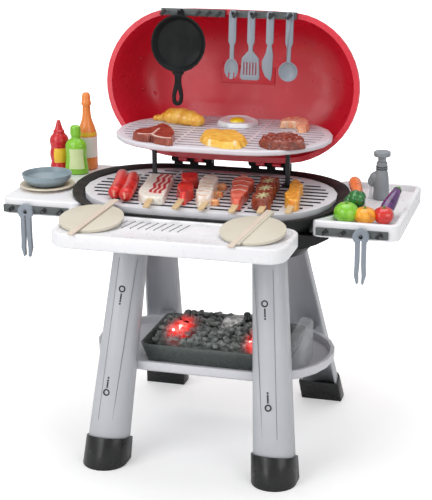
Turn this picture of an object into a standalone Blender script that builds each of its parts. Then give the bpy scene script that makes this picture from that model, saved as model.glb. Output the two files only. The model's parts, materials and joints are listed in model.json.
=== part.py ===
"""Toy barbecue grill on four splayed legs, with its lid open and its play food, tools and bottles set out.

Metres, +Z up, +X to the right of someone who stands at the front, -Y towards them. The origin is on the
floor, at the middle of the footprint. Every size that can be set by itself is named once below.
"""
import math

import bmesh
import bpy
from mathutils import Matrix, Vector

# Clearances and counts
GAP = 0.0003
RUNNING_GAP = 0.0005
OVERRUN = 0.002
ARC_STEPS = 12
ROUND_STEPS = 20
SMALL_ROUND_STEPS = 12
CORNER_STEPS = 4

# Tub
TUB_BEYOND_GRATE_X = 0.02265
TUB_BEYOND_GRATE_Y = 0.0090
TUB_Y = -0.004
TUB_FLOOR_Z = 0.349
TUB_RIM_Z = 0.444
TUB_WALL = 0.003
TUB_RIM_BAND = 0.005
TUB_RIM_HEIGHT = 0.003
TUB_RIM_OVERHANG = 0.006
TUB_SLOPE_FROM_Y = 0.060
TUB_FRONT_ABOVE_LEDGE = 0.0012
TUB_STRAIGHT_WALL = 0.022
TUB_FLOOR_INSET = 0.062
TUB_BOWL_HEIGHT_SHARES = (0.0, 0.26, 0.63, 1.0)
TUB_BOWL_INSET_SHARES = (1.0, 0.72, 0.32, 0.0)
TUB_LEDGE = 0.006

# Bracket arms that carry the side trays
GUSSET_Y = -0.100
GUSSET_THICKNESS = 0.020
GUSSET_REACH = 0.028
GUSSET_HEIGHT = 0.026
GUSSET_INNER_X = 0.120

# Main grate
GRATE_WIDTH = 0.4167
GRATE_DEPTH = 0.2620
GRATE_THICKNESS = 0.010
GRATE_BELOW_RIM = 0.006
GRATE_BORDER = 0.014
GRATE_ROWS = 12
GRATE_COLUMNS = 7
GRATE_RIB_X = 0.005
GRATE_SLOT = 0.0085

# Upper rack and its two posts
RACK_WIDTH = 0.366
RACK_DEPTH = 0.250
RACK_THICKNESS = 0.0085
RACK_Y = 0.079
RACK_TOP_Z = 0.517
RACK_BORDER = 0.013
RACK_ROWS = 13
RACK_COLUMNS = 6
RACK_RIB_X = 0.005
RACK_SLOT = 0.006
POST_X = 0.115
POST_Y = 0.0565
POST_WIDTH = 0.0075
POST_DEPTH = 0.0065
POST_PAD = 0.016
POST_PAD_THICKNESS = 0.003

# Lid, measured in its own upright frame from the hinge axis
LID_WIDTH = 0.442
LID_HEIGHT = 0.2535
LID_DOME_DEPTH = 0.125
LID_WALL = 0.0025
LID_LIP = 0.0065
LID_LIP_DEPTH = 0.010
LID_TILT = math.radians(6.66)
LID_RIM_AHEAD = 0.018
LID_EDGE_ABOVE = 0.0034
LID_DEPTH_SHARES = (0.30, 0.55, 0.75, 0.90, 0.97, 1.00)
LID_INSET_SHARES = (0.02, 0.06, 0.14, 0.27, 0.42, 0.60)

# Hinges: five knuckles each, three on the tub and two on the lid
HINGE_INSIDE_RIM = 0.0145
HINGE_Z = 0.4565
HINGE_INNER_X = 0.033
HINGE_LENGTH = 0.071
HINGE_KNUCKLES = 5
KNUCKLE_RADIUS = 0.0055
PIN_RADIUS = 0.0015
PIN_HEAD_RADIUS = 0.0030
PIN_HEAD_LENGTH = 0.0012
EAR_POST_DEPTH = 0.0065
EAR_SINK = 0.0025

# Hook rails on the lid, with a peg for each hanging tool
LID_RAIL_HEIGHT = 0.012
LID_RAIL_THICKNESS = 0.006
LID_RAIL_DROP = 0.0015
LEFT_RAIL_FROM_X = -0.122
LEFT_RAIL_TO_X = -0.011
RIGHT_RAIL_FROM_X = -0.002
RIGHT_RAIL_TO_X = 0.111
PEG_RADIUS = 0.0014
PEG_LENGTH = 0.012
PEG_SLOPE = math.radians(20)
PEG_ROOT = 0.002

# Hanging tools
TOOL_THICKNESS = 0.004
TOOL_HOLE_RADIUS = 0.0028
TOOL_LENGTH = 0.108
TOOL_HEAD_ABOVE = 0.0065
HANDLE_WIDTH = 0.0125
NECK_WIDTH = 0.0070
SPORK_X = 0.004
SPATULA_X = 0.036
KNIFE_X = 0.068
LADLE_X = 0.101
SPORK_WIDTH = 0.024
SPATULA_WIDTH = 0.033
SPATULA_BLADE = 0.041
SPATULA_SLITS = 5
SPATULA_SLIT_WIDTH = 0.0022
KNIFE_BULGE = 0.0075
LADLE_RADIUS = 0.0165
LADLE_DEPTH = 0.010
PAN_X = -0.087
PAN_RADIUS = 0.0480
PAN_DEPTH = 0.0125
PAN_WALL = 0.0028
PAN_DROP = 0.0525
PAN_HANDLE_LENGTH = 0.056
PAN_HANDLE_WIDTH = 0.0105

# Side trays
TRAY_OUTER_X = 0.3250
TRAY_INNER_X = 0.188
TRAY_FRONT_Y = -0.1024
TRAY_BACK_Y = 0.1524
TRAY_BELOW_RIM = 0.0004
TRAY_HEIGHT = 0.0255
TRAY_WALL = 0.0030
TRAY_RIM = 0.0080
TRAY_CORNER = 0.016
SINK_RECESS = 0.010

# Hook rails under the tray fronts, and the tongs that hang there
LEFT_TRAY_RAIL_X = -0.2640
RIGHT_TRAY_RAIL_X = 0.2530
TRAY_RAIL_LENGTH = 0.112
TRAY_RAIL_HEIGHT = 0.0125
TRAY_RAIL_THICKNESS = 0.0035
TRAY_RAIL_DROP = 0.0095
TRAY_PEG_DROP = 0.0095
TRAY_RAIL_HOOKS = 4
TRAY_RAIL_MARGIN = 0.010
TONGS_RADIUS = 0.0128
TONGS_LENGTH = 0.076
TONGS_ARM_WIDTH = 0.0070
TONGS_SPREAD = 0.0085
TONGS_THICKNESS = 0.007
TONGS_HOLE_RADIUS = 0.0034

# Front shelf
SHELF_WIDTH = 0.3668
SHELF_FRONT_Y = -0.258
SHELF_BELOW_RIM = 0.0007
SHELF_THICKNESS = 0.0233
SHELF_WALL = 0.003
SHELF_RIM = 0.008
SHELF_RECESS = 0.0018
SHELF_CORNER = 0.030
RIDGE_COUNT = 9
RIDGE_PITCH = 0.0125
RIDGE_WIDTH = 0.0022
RIDGE_HEIGHT = 0.0010
RIDGE_LENGTH = 0.036
RIDGE_LEAN = math.radians(-12)
RIDGE_X = -0.040
RIDGE_Y = -0.182

# Legs: the middle of each section at the top and at the floor
FRONT_TOP_X = 0.1160
FRONT_TOP_Y = -0.0760
FRONT_FLOOR_X = 0.1435
FRONT_FLOOR_Y = -0.1490
BACK_TOP_X = 0.1131
BACK_TOP_Y = 0.0760
BACK_FLOOR_X = 0.1500
BACK_FLOOR_Y = 0.2280
LEG_TOP_WIDTH = 0.054
LEG_FLOOR_WIDTH = 0.067
LEG_TOP_DEPTH = 0.032
LEG_FLOOR_DEPTH = 0.046
LEG_WALL = 0.003
LEG_FOOT_PLUG_Z = 0.020
LEG_ABOVE_FLOOR = 0.022
FOOT_WIDTH = 0.0735
FOOT_DEPTH = 0.0600
FOOT_WALL = 0.0030
FOOT_FRONT_Z = 0.053
FOOT_BACK_Z = 0.037
FOOT_OUTER_FLAT_SHARE = 0.08

# Lower shelf
LOWER_WIDTH = 0.409
LOWER_DEPTH = 0.2335
LOWER_Y = 0.0215
LOWER_TOP_Z = 0.1644
LOWER_HEIGHT = 0.0165
LOWER_FLOOR = 0.004
LOWER_RIM = 0.007
LUG_WIDTH = 0.024
LUG_THICKNESS = 0.009

# Charcoal tray with its light and mist unit, battery door, switch and water tank
COAL_TRAY_X = 0.0185
COAL_TRAY_Y = 0.0115
COAL_TRAY_WIDTH = 0.2520
COAL_TRAY_DEPTH = 0.1570
COAL_TRAY_HEIGHT = 0.032
COAL_TRAY_WALL = 0.0025
COAL_TRAY_CORNER = 0.014
COAL_TRAY_TAPER = 0.008
HEAP_HEIGHT = 0.044
HEAP_EDGE_HEIGHT = 0.020
HEAP_BUMP = 0.0050
HEAP_COLUMNS = 18
HEAP_ROWS = 10
UNIT_WIDTH = 0.170
UNIT_DEPTH = 0.026
UNIT_HEIGHT = 0.040
NOZZLE_RADIUS = 0.0085
NOZZLE_HEIGHT = 0.010
NOZZLE_BORE = 0.0030
DOOR_WIDTH = 0.084
DOOR_HEIGHT = 0.017
SWITCH_OFFSET_X = 0.066
SWITCH_RADIUS = 0.0048
SWITCH_LENGTH = 0.0075
SWITCH_TRAVEL = 0.0015
TANK_WIDTH = 0.0235
TANK_DEPTH = 0.078
TANK_HEIGHT = 0.068
TANK_FRONT_Y = -0.045
TANK_CORNER = 0.006
TANK_CAP_RADIUS = 0.0075
TANK_CAP_HEIGHT = 0.004

# Tap on the right tray
TAP_X = 0.266
TAP_Y = 0.086
TAP_BASE_RADIUS = 0.0135
TAP_BODY_HEIGHT = 0.064
TAP_BORE_RADIUS = 0.0072
TAP_BORE_DEPTH = 0.020
TAP_KNOB_RADIUS = 0.0140
TAP_KNOB_HEIGHT = 0.0085
TAP_TRAVEL = 0.006
TAP_KNOB_STANDOFF = 0.0075
TAP_HEIGHT_SHARES = (0.0, 0.10, 0.55, 0.72, 0.78, 1.0)
TAP_RADIUS_SHARES = (0.86, 1.0, 0.92, 0.80, 0.70, 0.68)
SPOUT_REACH = 0.0235
SPOUT_WIDTH = 0.0130
SPOUT_HEIGHT = 0.021
SPOUT_DROP = 0.016

# Bowl and plate on the left tray
BOWL_X = -0.2785
BOWL_Y = -0.020
PLATE_RADIUS = 0.0465
PLATE_HEIGHT = 0.0070
PLATE_THICKNESS = 0.0022
BOWL_RADIUS = 0.0420
BOWL_HEIGHT = 0.0220
BOWL_WALL = 0.0022

# Bottles: (name, x, y, radius, height)
BOTTLE_FLAT_SHARE = 0.78
RED_BOTTLE = (-0.3048, 0.1010, 0.0168, 0.0875)
GREEN_BOTTLE = (-0.2665, 0.0830, 0.0210, 0.0840)
ORANGE_BOTTLE = (-0.2600, 0.1210, 0.0170, 0.1345)
RED_HEIGHT_SHARES = (0.0, 0.04, 0.30, 0.52, 0.62, 0.66, 0.84, 1.0)
RED_RADIUS_SHARES = (0.88, 1.0, 0.94, 0.86, 0.58, 0.62, 0.50, 0.10)
GREEN_HEIGHT_SHARES = (0.0, 0.04, 0.60, 0.72, 0.76, 0.90, 1.0)
GREEN_RADIUS_SHARES = (0.90, 1.0, 0.96, 0.60, 0.46, 0.42, 0.40)
ORANGE_HEIGHT_SHARES = (0.0, 0.03, 0.52, 0.66, 0.80, 0.82, 0.98, 1.0)
ORANGE_RADIUS_SHARES = (0.90, 1.0, 1.0, 0.58, 0.42, 0.52, 0.50, 0.44)

# Round paddles that lean from the front shelf onto the grate's edge
PADDLE_RADIUS = 0.050
PADDLE_THICKNESS = 0.0042
PADDLE_FRONT_Y = -0.2405
LEFT_PADDLE_X = -0.1345
RIGHT_PADDLE_X = 0.1205
PADDLE_STICK_WIDTH = 0.0085
PADDLE_STICK_PROUD = 0.0022
PADDLE_STICK_BACK = 0.068
PADDLE_STICK_FRONT = 0.0590
PADDLE_STICK_TURN = math.radians(-10)

# Food on the main grate: each has its front and back end and its half width
STICK_WIDTH = 0.0100
STICK_THICKNESS = 0.0024
STICK_RISE = 0.0068
SAUSAGE_RADIUS = 0.0115
SAUSAGE_FRONT_LEFT = (-0.1300, -0.105)
SAUSAGE_BACK_LEFT = (-0.1600, 0.020)
SAUSAGE_FRONT_RIGHT = (-0.1095, -0.115)
SAUSAGE_BACK_RIGHT = (-0.1395, 0.010)
BACON_FRONT = (-0.0690, -0.108)
BACON_BACK = (-0.0960, 0.040)
BACON_HALF_WIDTH = 0.0205
BACON_THICKNESS = 0.0120
BALL_FRONT = (-0.0210, -0.105)
BALL_BACK = (-0.0465, 0.043)
BALL_RADIUS = 0.0155
BALL_COUNT = 4
SQUID_FRONT = (0.0235, -0.110)
SQUID_BACK = (0.0040, 0.038)
SQUID_HALF_WIDTH = 0.0165
SALMON_FRONT = (0.0690, -0.112)
SALMON_BACK = (0.0460, 0.050)
SALMON_HALF_WIDTH = 0.0165
MUSHROOM_FRONT = (0.1060, -0.104)
MUSHROOM_BACK = (0.0890, 0.040)
MUSHROOM_RADIUS = 0.0165
MUSHROOM_COUNT = 4
CORN_FRONT = (0.1520, -0.095)
CORN_BACK = (0.1370, 0.040)
CORN_RADIUS = 0.0125
LONG_STICK = 0.040
SHORT_STICK = 0.030

# Food on the upper rack: middle, half sizes and height
CHICKEN = (-0.0930, 0.1320, 0.0510, 0.0290, 0.0200)
STEAK = (-0.0915, 0.0135, 0.0400, 0.0585, 0.0120)
EGG = (0.0040, 0.1510, 0.0380, 0.0420, 0.0070)
RUFFLE = (0.0165, 0.0120, 0.0480, 0.0560, 0.0140)
SHRIMP = (0.1050, 0.1430, 0.0310, 0.0460, 0.0120)
PATTY = (0.1170, 0.0110, 0.0410, 0.0415, 0.0130)
YOLK_RADIUS = 0.0130
YOLK_HEIGHT = 0.0050
RUFFLE_LUMPS = 11
RUFFLE_DEPTH_SHARE = 0.12
SHRIMP_TUBE = 0.0095
SHRIMP_SWEEP = math.radians(250)
SHRIMP_START_SHARE = 0.30
STEAK_X_SHARES = (-0.98, -0.84, -0.53, -0.31, -0.23, -0.07, 0.37, 0.83, 0.95, 0.88, 1.00, 0.93, 0.61, 0.08, -0.08,
                  -0.23, -0.73)
STEAK_Y_SHARES = (-0.43, -0.18, 0.09, 0.56, 0.93, 1.00, 0.60, -0.05, -0.28, -0.48, -0.80, -1.00, -0.93, -0.72, -0.53,
                  -0.64, -0.50)

# Vegetables in the sink: each bulb has its middle, foot height, half sizes and height
LIME_VEG = (0.2395, -0.0680, 0.0, 0.0195, 0.0195, 0.0330)
PUMPKIN = (0.2655, -0.0660, 0.0, 0.0195, 0.0200, 0.0260)
TOMATO = (0.2925, -0.0600, 0.0, 0.0165, 0.0190, 0.0240)
PEPPER = (0.2440, -0.0370, 0.0140, 0.0165, 0.0165, 0.0310)
CARROT_TOP = (0.2265, 0.0560, 0.0385)
CARROT_END = (0.2590, -0.0460, 0.0130)
CARROT_TOP_RADIUS = 0.0105
CARROT_END_RADIUS = 0.0075
AUBERGINE_FOOT = (0.2920, -0.0455, 0.0125)
AUBERGINE_TIP = (0.3080, 0.0100, 0.0430)
AUBERGINE_RADIUS = 0.0115

# Worked out from the sizes above
TUB_WIDTH = GRATE_WIDTH + 2 * TUB_BEYOND_GRATE_X
TUB_DEPTH = GRATE_DEPTH + 2 * TUB_BEYOND_GRATE_Y
HINGE_Y = TUB_Y + TUB_DEPTH / 2 - HINGE_INSIDE_RIM
GRATE_TOP_Z = TUB_RIM_Z - GRATE_BELOW_RIM
GRATE_UNDER_Z = GRATE_TOP_Z - GRATE_THICKNESS
TUB_LEDGE_Z = GRATE_UNDER_Z - GAP
TUB_FRONT_RIM_Z = TUB_LEDGE_Z + TUB_FRONT_ABOVE_LEDGE
RACK_UNDER_Z = RACK_TOP_Z - RACK_THICKNESS


def rim_z(y):
    """Height of the tub's rim at y: level at the back, and sloping down to the grate's seat in front."""
    front_y = TUB_Y - TUB_DEPTH / 2
    share = min(max((y - front_y) / (TUB_SLOPE_FROM_Y - front_y), 0), 1)
    return TUB_FRONT_RIM_Z + (TUB_RIM_Z - TUB_FRONT_RIM_Z) * share


TRAY_TOP_Z = rim_z(TRAY_FRONT_Y) - TUB_RIM_HEIGHT - TRAY_BELOW_RIM
TRAY_UNDER_Z = TRAY_TOP_Z - TRAY_HEIGHT
SHELF_TOP_Z = TUB_FRONT_RIM_Z - TUB_RIM_HEIGHT - SHELF_BELOW_RIM
SINK_FLOOR_Z = TRAY_TOP_Z - SINK_RECESS
SHELF_FLOOR_Z = SHELF_TOP_Z - SHELF_RECESS
LOWER_UNDER_Z = LOWER_TOP_Z - LOWER_HEIGHT
LOWER_FLOOR_Z = LOWER_UNDER_Z + LOWER_FLOOR
TUB_WALL_WIDTH = TUB_WIDTH - 2 * TUB_RIM_OVERHANG
TUB_WALL_DEPTH = TUB_DEPTH - 2 * TUB_RIM_OVERHANG
SHELF_BACK_Y = TUB_Y - TUB_WALL_DEPTH / 2 - GAP
COAL_FLOOR_Z = LOWER_FLOOR_Z + GAP + COAL_TRAY_WALL


# Mesh helpers
def clear_scene():
    for obj in list(bpy.data.objects):
        bpy.data.objects.remove(obj, do_unlink=True)


def linear(channel):
    return channel / 12.92 if channel <= 0.04045 else ((channel + 0.055) / 1.055) ** 2.4


def finish(name, hex_colour, roughness, alpha=1.0):
    material = bpy.data.materials.new(name)
    material.use_nodes = True
    shader = material.node_tree.nodes["Principled BSDF"]
    channels = [int(hex_colour[i:i + 2], 16) / 255 for i in (0, 2, 4)]
    shader.inputs["Base Color"].default_value = [linear(c) for c in channels] + [1.0]
    shader.inputs["Roughness"].default_value = roughness
    shader.inputs["Metallic"].default_value = 0.0
    shader.inputs["Alpha"].default_value = alpha
    return material


def stadium(width, depth, steps=ARC_STEPS):
    """Points of a flat oval with straight long sides, anticlockwise from its right end's lower corner."""
    radius = depth / 2
    reach = width / 2 - radius
    points = []
    for side in (1, -1):
        for i in range(steps + 1):
            angle = math.pi * (i / steps - 0.5)
            points.append((side * (reach + radius * math.cos(angle)), side * radius * math.sin(angle)))
    return points


def rounded_box(width, depth, corner, steps=CORNER_STEPS):
    points = []
    for quarter, (sx, sy) in enumerate(((1, 1), (-1, 1), (-1, -1), (1, -1))):
        for i in range(steps + 1):
            angle = math.pi / 2 * (quarter + i / steps)
            points.append((sx * (width / 2 - corner) + corner * math.cos(angle),
                           sy * (depth / 2 - corner) + corner * math.sin(angle)))
    return points


def circle(radius, steps=ROUND_STEPS):
    return [(radius * math.cos(math.tau * i / steps), radius * math.sin(math.tau * i / steps))
            for i in range(steps)]


def level(points, z, x=0.0, y=0.0):
    return [Vector((px + x, py + y, z)) for px, py in points]


def loft(rings):
    """A closed body through rings of equally many points, with a cap on the first and on the last."""
    bm = bmesh.new()
    made = [[bm.verts.new(point) for point in ring] for ring in rings]
    count = len(made[0])
    for lower, upper in zip(made, made[1:]):
        for i in range(count):
            j = (i + 1) % count
            bm.faces.new((lower[i], lower[j], upper[j], upper[i]))
    bm.faces.new(made[0][::-1])
    bm.faces.new(made[-1])
    bmesh.ops.recalc_face_normals(bm, faces=bm.faces)
    return bm


def piece(name, bm, material):
    mesh = bpy.data.meshes.new(name)
    bm.to_mesh(mesh)
    bm.free()
    mesh.materials.append(material)
    mesh.shade_smooth()
    mesh.set_sharp_from_angle(angle=math.radians(35))
    obj = bpy.data.objects.new(name, mesh)
    bpy.context.scene.collection.objects.link(obj)
    return obj


def helper(bm):
    mesh = bpy.data.meshes.new("helper")
    bm.to_mesh(mesh)
    bm.free()
    obj = bpy.data.objects.new("helper", mesh)
    bpy.context.scene.collection.objects.link(obj)
    obj.hide_render = True
    obj.display_type = "WIRE"
    return obj


def block(low, high):
    corners = [(low[0], low[1]), (high[0], low[1]), (high[0], high[1]), (low[0], high[1])]
    return loft([level(corners, low[2]), level(corners, high[2])])


def tube(start, end, radius, end_radius=None, steps=SMALL_ROUND_STEPS):
    axis = Vector(end) - Vector(start)
    turn = axis.to_track_quat("Z", "Y").to_matrix()
    rings = []
    for centre, size in ((start, radius), (end, radius if end_radius is None else end_radius)):
        rings.append([Vector(centre) + turn @ Vector((px, py, 0)) for px, py in circle(size, steps)])
    return loft(rings)


def turned(heights, radii, steps=ROUND_STEPS, flat=1.0):
    return loft([[Vector((px, py * flat, z)) for px, py in circle(r, steps)] for z, r in zip(heights, radii)])


def combine(obj, operation, bodies):
    """Adds or removes helper bodies, one exact Boolean each, and keeps the result as the mesh."""
    for bm in bodies:
        other = helper(bm)
        modifier = obj.modifiers.new(operation, "BOOLEAN")
        modifier.operation = operation
        modifier.solver = "EXACT"
        modifier.object = other
        bpy.context.view_layer.update()
        graph = bpy.context.evaluated_depsgraph_get()
        result = bpy.data.meshes.new_from_object(obj.evaluated_get(graph))
        obj.modifiers.clear()
        obj.data = result
        bpy.data.objects.remove(other, do_unlink=True)
    return obj


def fuse(obj, *bodies):
    return combine(obj, "UNION", bodies)


def cut(obj, *bodies):
    return combine(obj, "DIFFERENCE", bodies)


def moved(bm, offset=(0, 0, 0), turn=None):
    matrix = Matrix.Translation(offset)
    if turn is not None:
        matrix = matrix @ turn
    bmesh.ops.transform(bm, matrix=matrix, verts=bm.verts)
    return bm


def frame_empty(name, location, tilt=0.0, parent=None):
    empty = bpy.data.objects.new(name, None)
    bpy.context.scene.collection.objects.link(empty)
    empty.location = location
    empty.rotation_euler = (tilt, 0, 0)
    empty.parent = parent
    return empty


def put(obj, location, parent=None):
    obj.location = location
    obj.parent = parent
    return obj


def slot_cutter(width, depth, border, rows, columns, rib, slot, low_z, high_z):
    """One body per slot: the rows run along X and each is clipped to the oval inside the border."""
    radius = depth / 2 - border
    reach = width / 2 - depth / 2
    pitch = 2 * radius / rows
    column = 2 * (reach + radius) / columns
    bm = bmesh.new()
    for row in range(rows):
        y = pitch * (row + 0.5) - radius
        edge = abs(y) + slot / 2
        limit = reach + math.sqrt(max(radius * radius - edge * edge, 0))
        for index in range(columns):
            left = max(column * (index - columns / 2) + rib / 2, -limit)
            right = min(column * (index + 1 - columns / 2) - rib / 2, limit)
            if right - left < slot:
                continue
            part = block((left, y - slot / 2, low_z), (right, y + slot / 2, high_z))
            mesh = bpy.data.meshes.new("slot")
            part.to_mesh(mesh)
            part.free()
            bm.from_mesh(mesh)
            bpy.data.meshes.remove(mesh)
    return bm


# Tub, its knuckles and the grate that sits in it
def knuckle_spans(side, first, step):
    length = HINGE_LENGTH / HINGE_KNUCKLES
    for index in range(first, HINGE_KNUCKLES, step):
        start = HINGE_INNER_X + index * length
        low, high = sorted((side * (start + GAP / 2), side * (start + length - GAP / 2)))
        yield low, high


def bowl_rings(grow, floor_z):
    """Outlines of the tub's bowl from its floor up, grown sideways, about the tub's own middle."""
    height = TUB_RIM_Z - TUB_STRAIGHT_WALL - TUB_FLOOR_Z
    rings = []
    for height_share, inset_share in zip(TUB_BOWL_HEIGHT_SHARES, TUB_BOWL_INSET_SHARES):
        side = grow - TUB_FLOOR_INSET * inset_share
        outline = stadium(TUB_WALL_WIDTH + 2 * side, TUB_WALL_DEPTH + 2 * side)
        rings.append(level(outline, max(TUB_FLOOR_Z + height * height_share, floor_z)))
    return rings


def along_rim(outline, drop, lowest=0.0):
    """The outline laid at the sloping rim's height less a drop, and nowhere under the lowest height."""
    return [Vector((px, py, max(rim_z(py + TUB_Y) - drop, lowest))) for px, py in outline]


def make_tub(material):
    wall = stadium(TUB_WALL_WIDTH, TUB_WALL_DEPTH)
    rim = stadium(TUB_WIDTH, TUB_DEPTH)
    rim_inner = stadium(TUB_WIDTH - 2 * TUB_RIM_BAND, TUB_DEPTH - 2 * TUB_RIM_BAND)
    seat = stadium(GRATE_WIDTH + 2 * RUNNING_GAP, GRATE_DEPTH + 2 * RUNNING_GAP)
    mouth = stadium(GRATE_WIDTH - 2 * TUB_LEDGE, GRATE_DEPTH - 2 * TUB_LEDGE)
    rings = bowl_rings(0, TUB_FLOOR_Z) + [
        along_rim(wall, TUB_RIM_HEIGHT),
        along_rim(rim, TUB_RIM_HEIGHT),
        along_rim(rim, 0),
        along_rim(rim_inner, 0),
        along_rim(seat, GRATE_BELOW_RIM, TUB_LEDGE_Z + GAP),
        level(seat, TUB_LEDGE_Z),
        level(mouth, TUB_LEDGE_Z),
        level(mouth, TUB_LEDGE_Z - TUB_WALL),
    ] + bowl_rings(-TUB_WALL, TUB_FLOOR_Z + TUB_WALL)[::-1]
    tub = piece("tub", loft(rings), material)
    bodies = []
    axis_y = HINGE_Y - TUB_Y
    rim_back_y = TUB_DEPTH / 2
    for side in (-1, 1):
        for low, high in knuckle_spans(side, 0, 2):
            bodies.append(tube((low, axis_y, HINGE_Z), (high, axis_y, HINGE_Z), KNUCKLE_RADIUS))
            back = rim_back_y - RUNNING_GAP
            bodies.append(block((low, axis_y, HINGE_Z - KNUCKLE_RADIUS), (high, back, HINGE_Z)))
            bodies.append(block((low, rim_back_y - EAR_POST_DEPTH, TUB_RIM_Z - EAR_SINK), (high, back, HINGE_Z)))
        bodies.append(gusset(side))
    fuse(tub, *bodies)
    holes = []
    for side in (-1, 1):
        low, high = sorted((side * HINGE_INNER_X, side * (HINGE_INNER_X + HINGE_LENGTH)))
        holes.append(tube((low - OVERRUN, axis_y, HINGE_Z), (high + OVERRUN, axis_y, HINGE_Z), PIN_RADIUS + GAP))
    return put(cut(tub, *holes), (0, TUB_Y, 0))


def without(bm, *cutters):
    """The body with others cut away, as a body again."""
    rest = helper(bm)
    cut(rest, *cutters)
    result = bmesh.new()
    result.from_mesh(rest.data)
    bpy.data.objects.remove(rest, do_unlink=True)
    return result


def gusset(side):
    """The bracket arm that carries a side tray: a wedge from the middle of the tub's wall out under the tray."""
    top = TRAY_UNDER_Z - GAP
    outer = TRAY_INNER_X + GUSSET_REACH
    profile = [(GUSSET_INNER_X, top - GUSSET_HEIGHT), (TRAY_INNER_X - GUSSET_THICKNESS / 2, top - GUSSET_HEIGHT),
               (outer, top - TUB_WALL), (outer, top), (GUSSET_INNER_X, top)]
    y = GUSSET_Y - TUB_Y
    rings = [[Vector((side * px, y + shift, pz)) for px, pz in profile] for shift in (0, GUSSET_THICKNESS)]
    return without(loft(rings), loft(bowl_rings(-TUB_WALL / 2, TUB_FLOOR_Z)))


def make_grate(material):
    rings = [level(stadium(GRATE_WIDTH, GRATE_DEPTH), GRATE_UNDER_Z),
             level(stadium(GRATE_WIDTH, GRATE_DEPTH), GRATE_TOP_Z)]
    grate = piece("main_grate", loft(rings), material)
    slots = slot_cutter(GRATE_WIDTH, GRATE_DEPTH, GRATE_BORDER, GRATE_ROWS, GRATE_COLUMNS, GRATE_RIB_X,
                        GRATE_SLOT, GRATE_UNDER_Z - OVERRUN, GRATE_TOP_Z + OVERRUN)
    return put(cut(grate, slots), (0, TUB_Y, 0))


def make_rack(material):
    edge = RACK_THICKNESS / 4
    outline = stadium(RACK_WIDTH, RACK_DEPTH)
    eased = stadium(RACK_WIDTH - 2 * edge, RACK_DEPTH - 2 * edge)
    rings = [level(eased, RACK_UNDER_Z), level(outline, RACK_UNDER_Z + edge),
             level(outline, RACK_TOP_Z - edge), level(eased, RACK_TOP_Z)]
    rack = piece("upper_rack", loft(rings), material)
    slots = slot_cutter(RACK_WIDTH, RACK_DEPTH, RACK_BORDER, RACK_ROWS, RACK_COLUMNS, RACK_RIB_X,
                        RACK_SLOT, RACK_UNDER_Z - OVERRUN, RACK_TOP_Z + OVERRUN)
    return put(cut(rack, slots), (0, RACK_Y, 0))


def make_post(name, side, material):
    bottom = GRATE_TOP_Z + GAP
    top = RACK_UNDER_Z - GAP
    stem = rounded_box(POST_WIDTH, POST_DEPTH, POST_DEPTH / 4)
    post = piece(name, loft([level(stem, bottom), level(stem, top - POST_PAD_THICKNESS / 2)]), material)
    pads = [block((-POST_PAD / 2, -POST_PAD / 2, low), (POST_PAD / 2, POST_PAD / 2, low + POST_PAD_THICKNESS))
            for low in (bottom, top - POST_PAD_THICKNESS)]
    fuse(post, *pads)
    return put(post, (side * POST_X, POST_Y, 0))


# Lid with its knuckles, pins and hook rails
def lid_ring(inset, back):
    points = stadium(LID_WIDTH - 2 * inset, LID_HEIGHT - 2 * inset)
    centre_z = LID_EDGE_ABOVE + LID_HEIGHT / 2
    return [Vector((px, back - LID_RIM_AHEAD, pz + centre_z)) for px, pz in points]


def make_lid(material, parent):
    half = LID_HEIGHT / 2
    lip_back = LID_LIP_DEPTH
    run = LID_DOME_DEPTH - lip_back
    outer = [lid_ring(0, 0), lid_ring(0, lip_back), lid_ring(LID_LIP, lip_back)]
    inner = [lid_ring(LID_LIP + LID_WALL, 0)]
    for depth_share, inset_share in zip(LID_DEPTH_SHARES, LID_INSET_SHARES):
        inset, back = LID_LIP + inset_share * half, lip_back + depth_share * run
        outer.append(lid_ring(inset, back))
        inner.append(lid_ring(inset + LID_WALL, back - LID_WALL))
    lid = piece("lid", loft(outer[::-1] + inner), material)
    bodies = []
    for side in (-1, 1):
        for low, high in knuckle_spans(side, 1, 2):
            bodies.append(tube((low, 0, 0), (high, 0, 0), KNUCKLE_RADIUS))
            top = LID_EDGE_ABOVE + LID_LIP + LID_WALL / 2
            bodies.append(block((low, -LID_RIM_AHEAD + LID_LIP_DEPTH / 2, -PIN_RADIUS), (high, PIN_RADIUS, top)))
    fuse(lid, *bodies)
    holes = []
    for side in (-1, 1):
        low, high = sorted((side * HINGE_INNER_X, side * (HINGE_INNER_X + HINGE_LENGTH)))
        holes.append(tube((low - OVERRUN, 0, 0), (high + OVERRUN, 0, 0), PIN_RADIUS + RUNNING_GAP))
    cut(lid, *holes)
    return put(lid, (0, 0, 0), parent)


def make_pin(name, side, material):
    low, high = sorted((side * HINGE_INNER_X, side * (HINGE_INNER_X + HINGE_LENGTH)))
    pin = piece(name, tube((low - PIN_HEAD_LENGTH, 0, 0), (high + GAP, 0, 0), PIN_RADIUS), material)
    fuse(pin, tube((low - PIN_HEAD_LENGTH - GAP, 0, 0), (low - GAP, 0, 0), PIN_HEAD_RADIUS))
    return put(pin, (0, HINGE_Y, HINGE_Z))


def peg(root):
    direction = Vector((0, -math.cos(PEG_SLOPE), math.sin(PEG_SLOPE)))
    start = Vector(root) - direction * PEG_ROOT
    return tube(start, Vector(root) + direction * PEG_LENGTH, PEG_RADIUS)


LID_RAIL_TOP = LID_EDGE_ABOVE + LID_HEIGHT - LID_RAIL_DROP
LID_RAIL_FACE_Y = -LID_RIM_AHEAD - GAP - LID_RAIL_THICKNESS
PEG_Z = LID_RAIL_TOP - LID_RAIL_HEIGHT / 2


def make_lid_rail(name, from_x, to_x, hooks, material, parent):
    bm = block((from_x, LID_RAIL_FACE_Y, LID_RAIL_TOP - LID_RAIL_HEIGHT), (to_x, -LID_RIM_AHEAD - GAP, LID_RAIL_TOP))
    rail = piece(name, bm, material)
    fuse(rail, *[peg((x, LID_RAIL_FACE_Y, PEG_Z)) for x in hooks])
    return put(rail, (0, 0, 0), parent)


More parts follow.
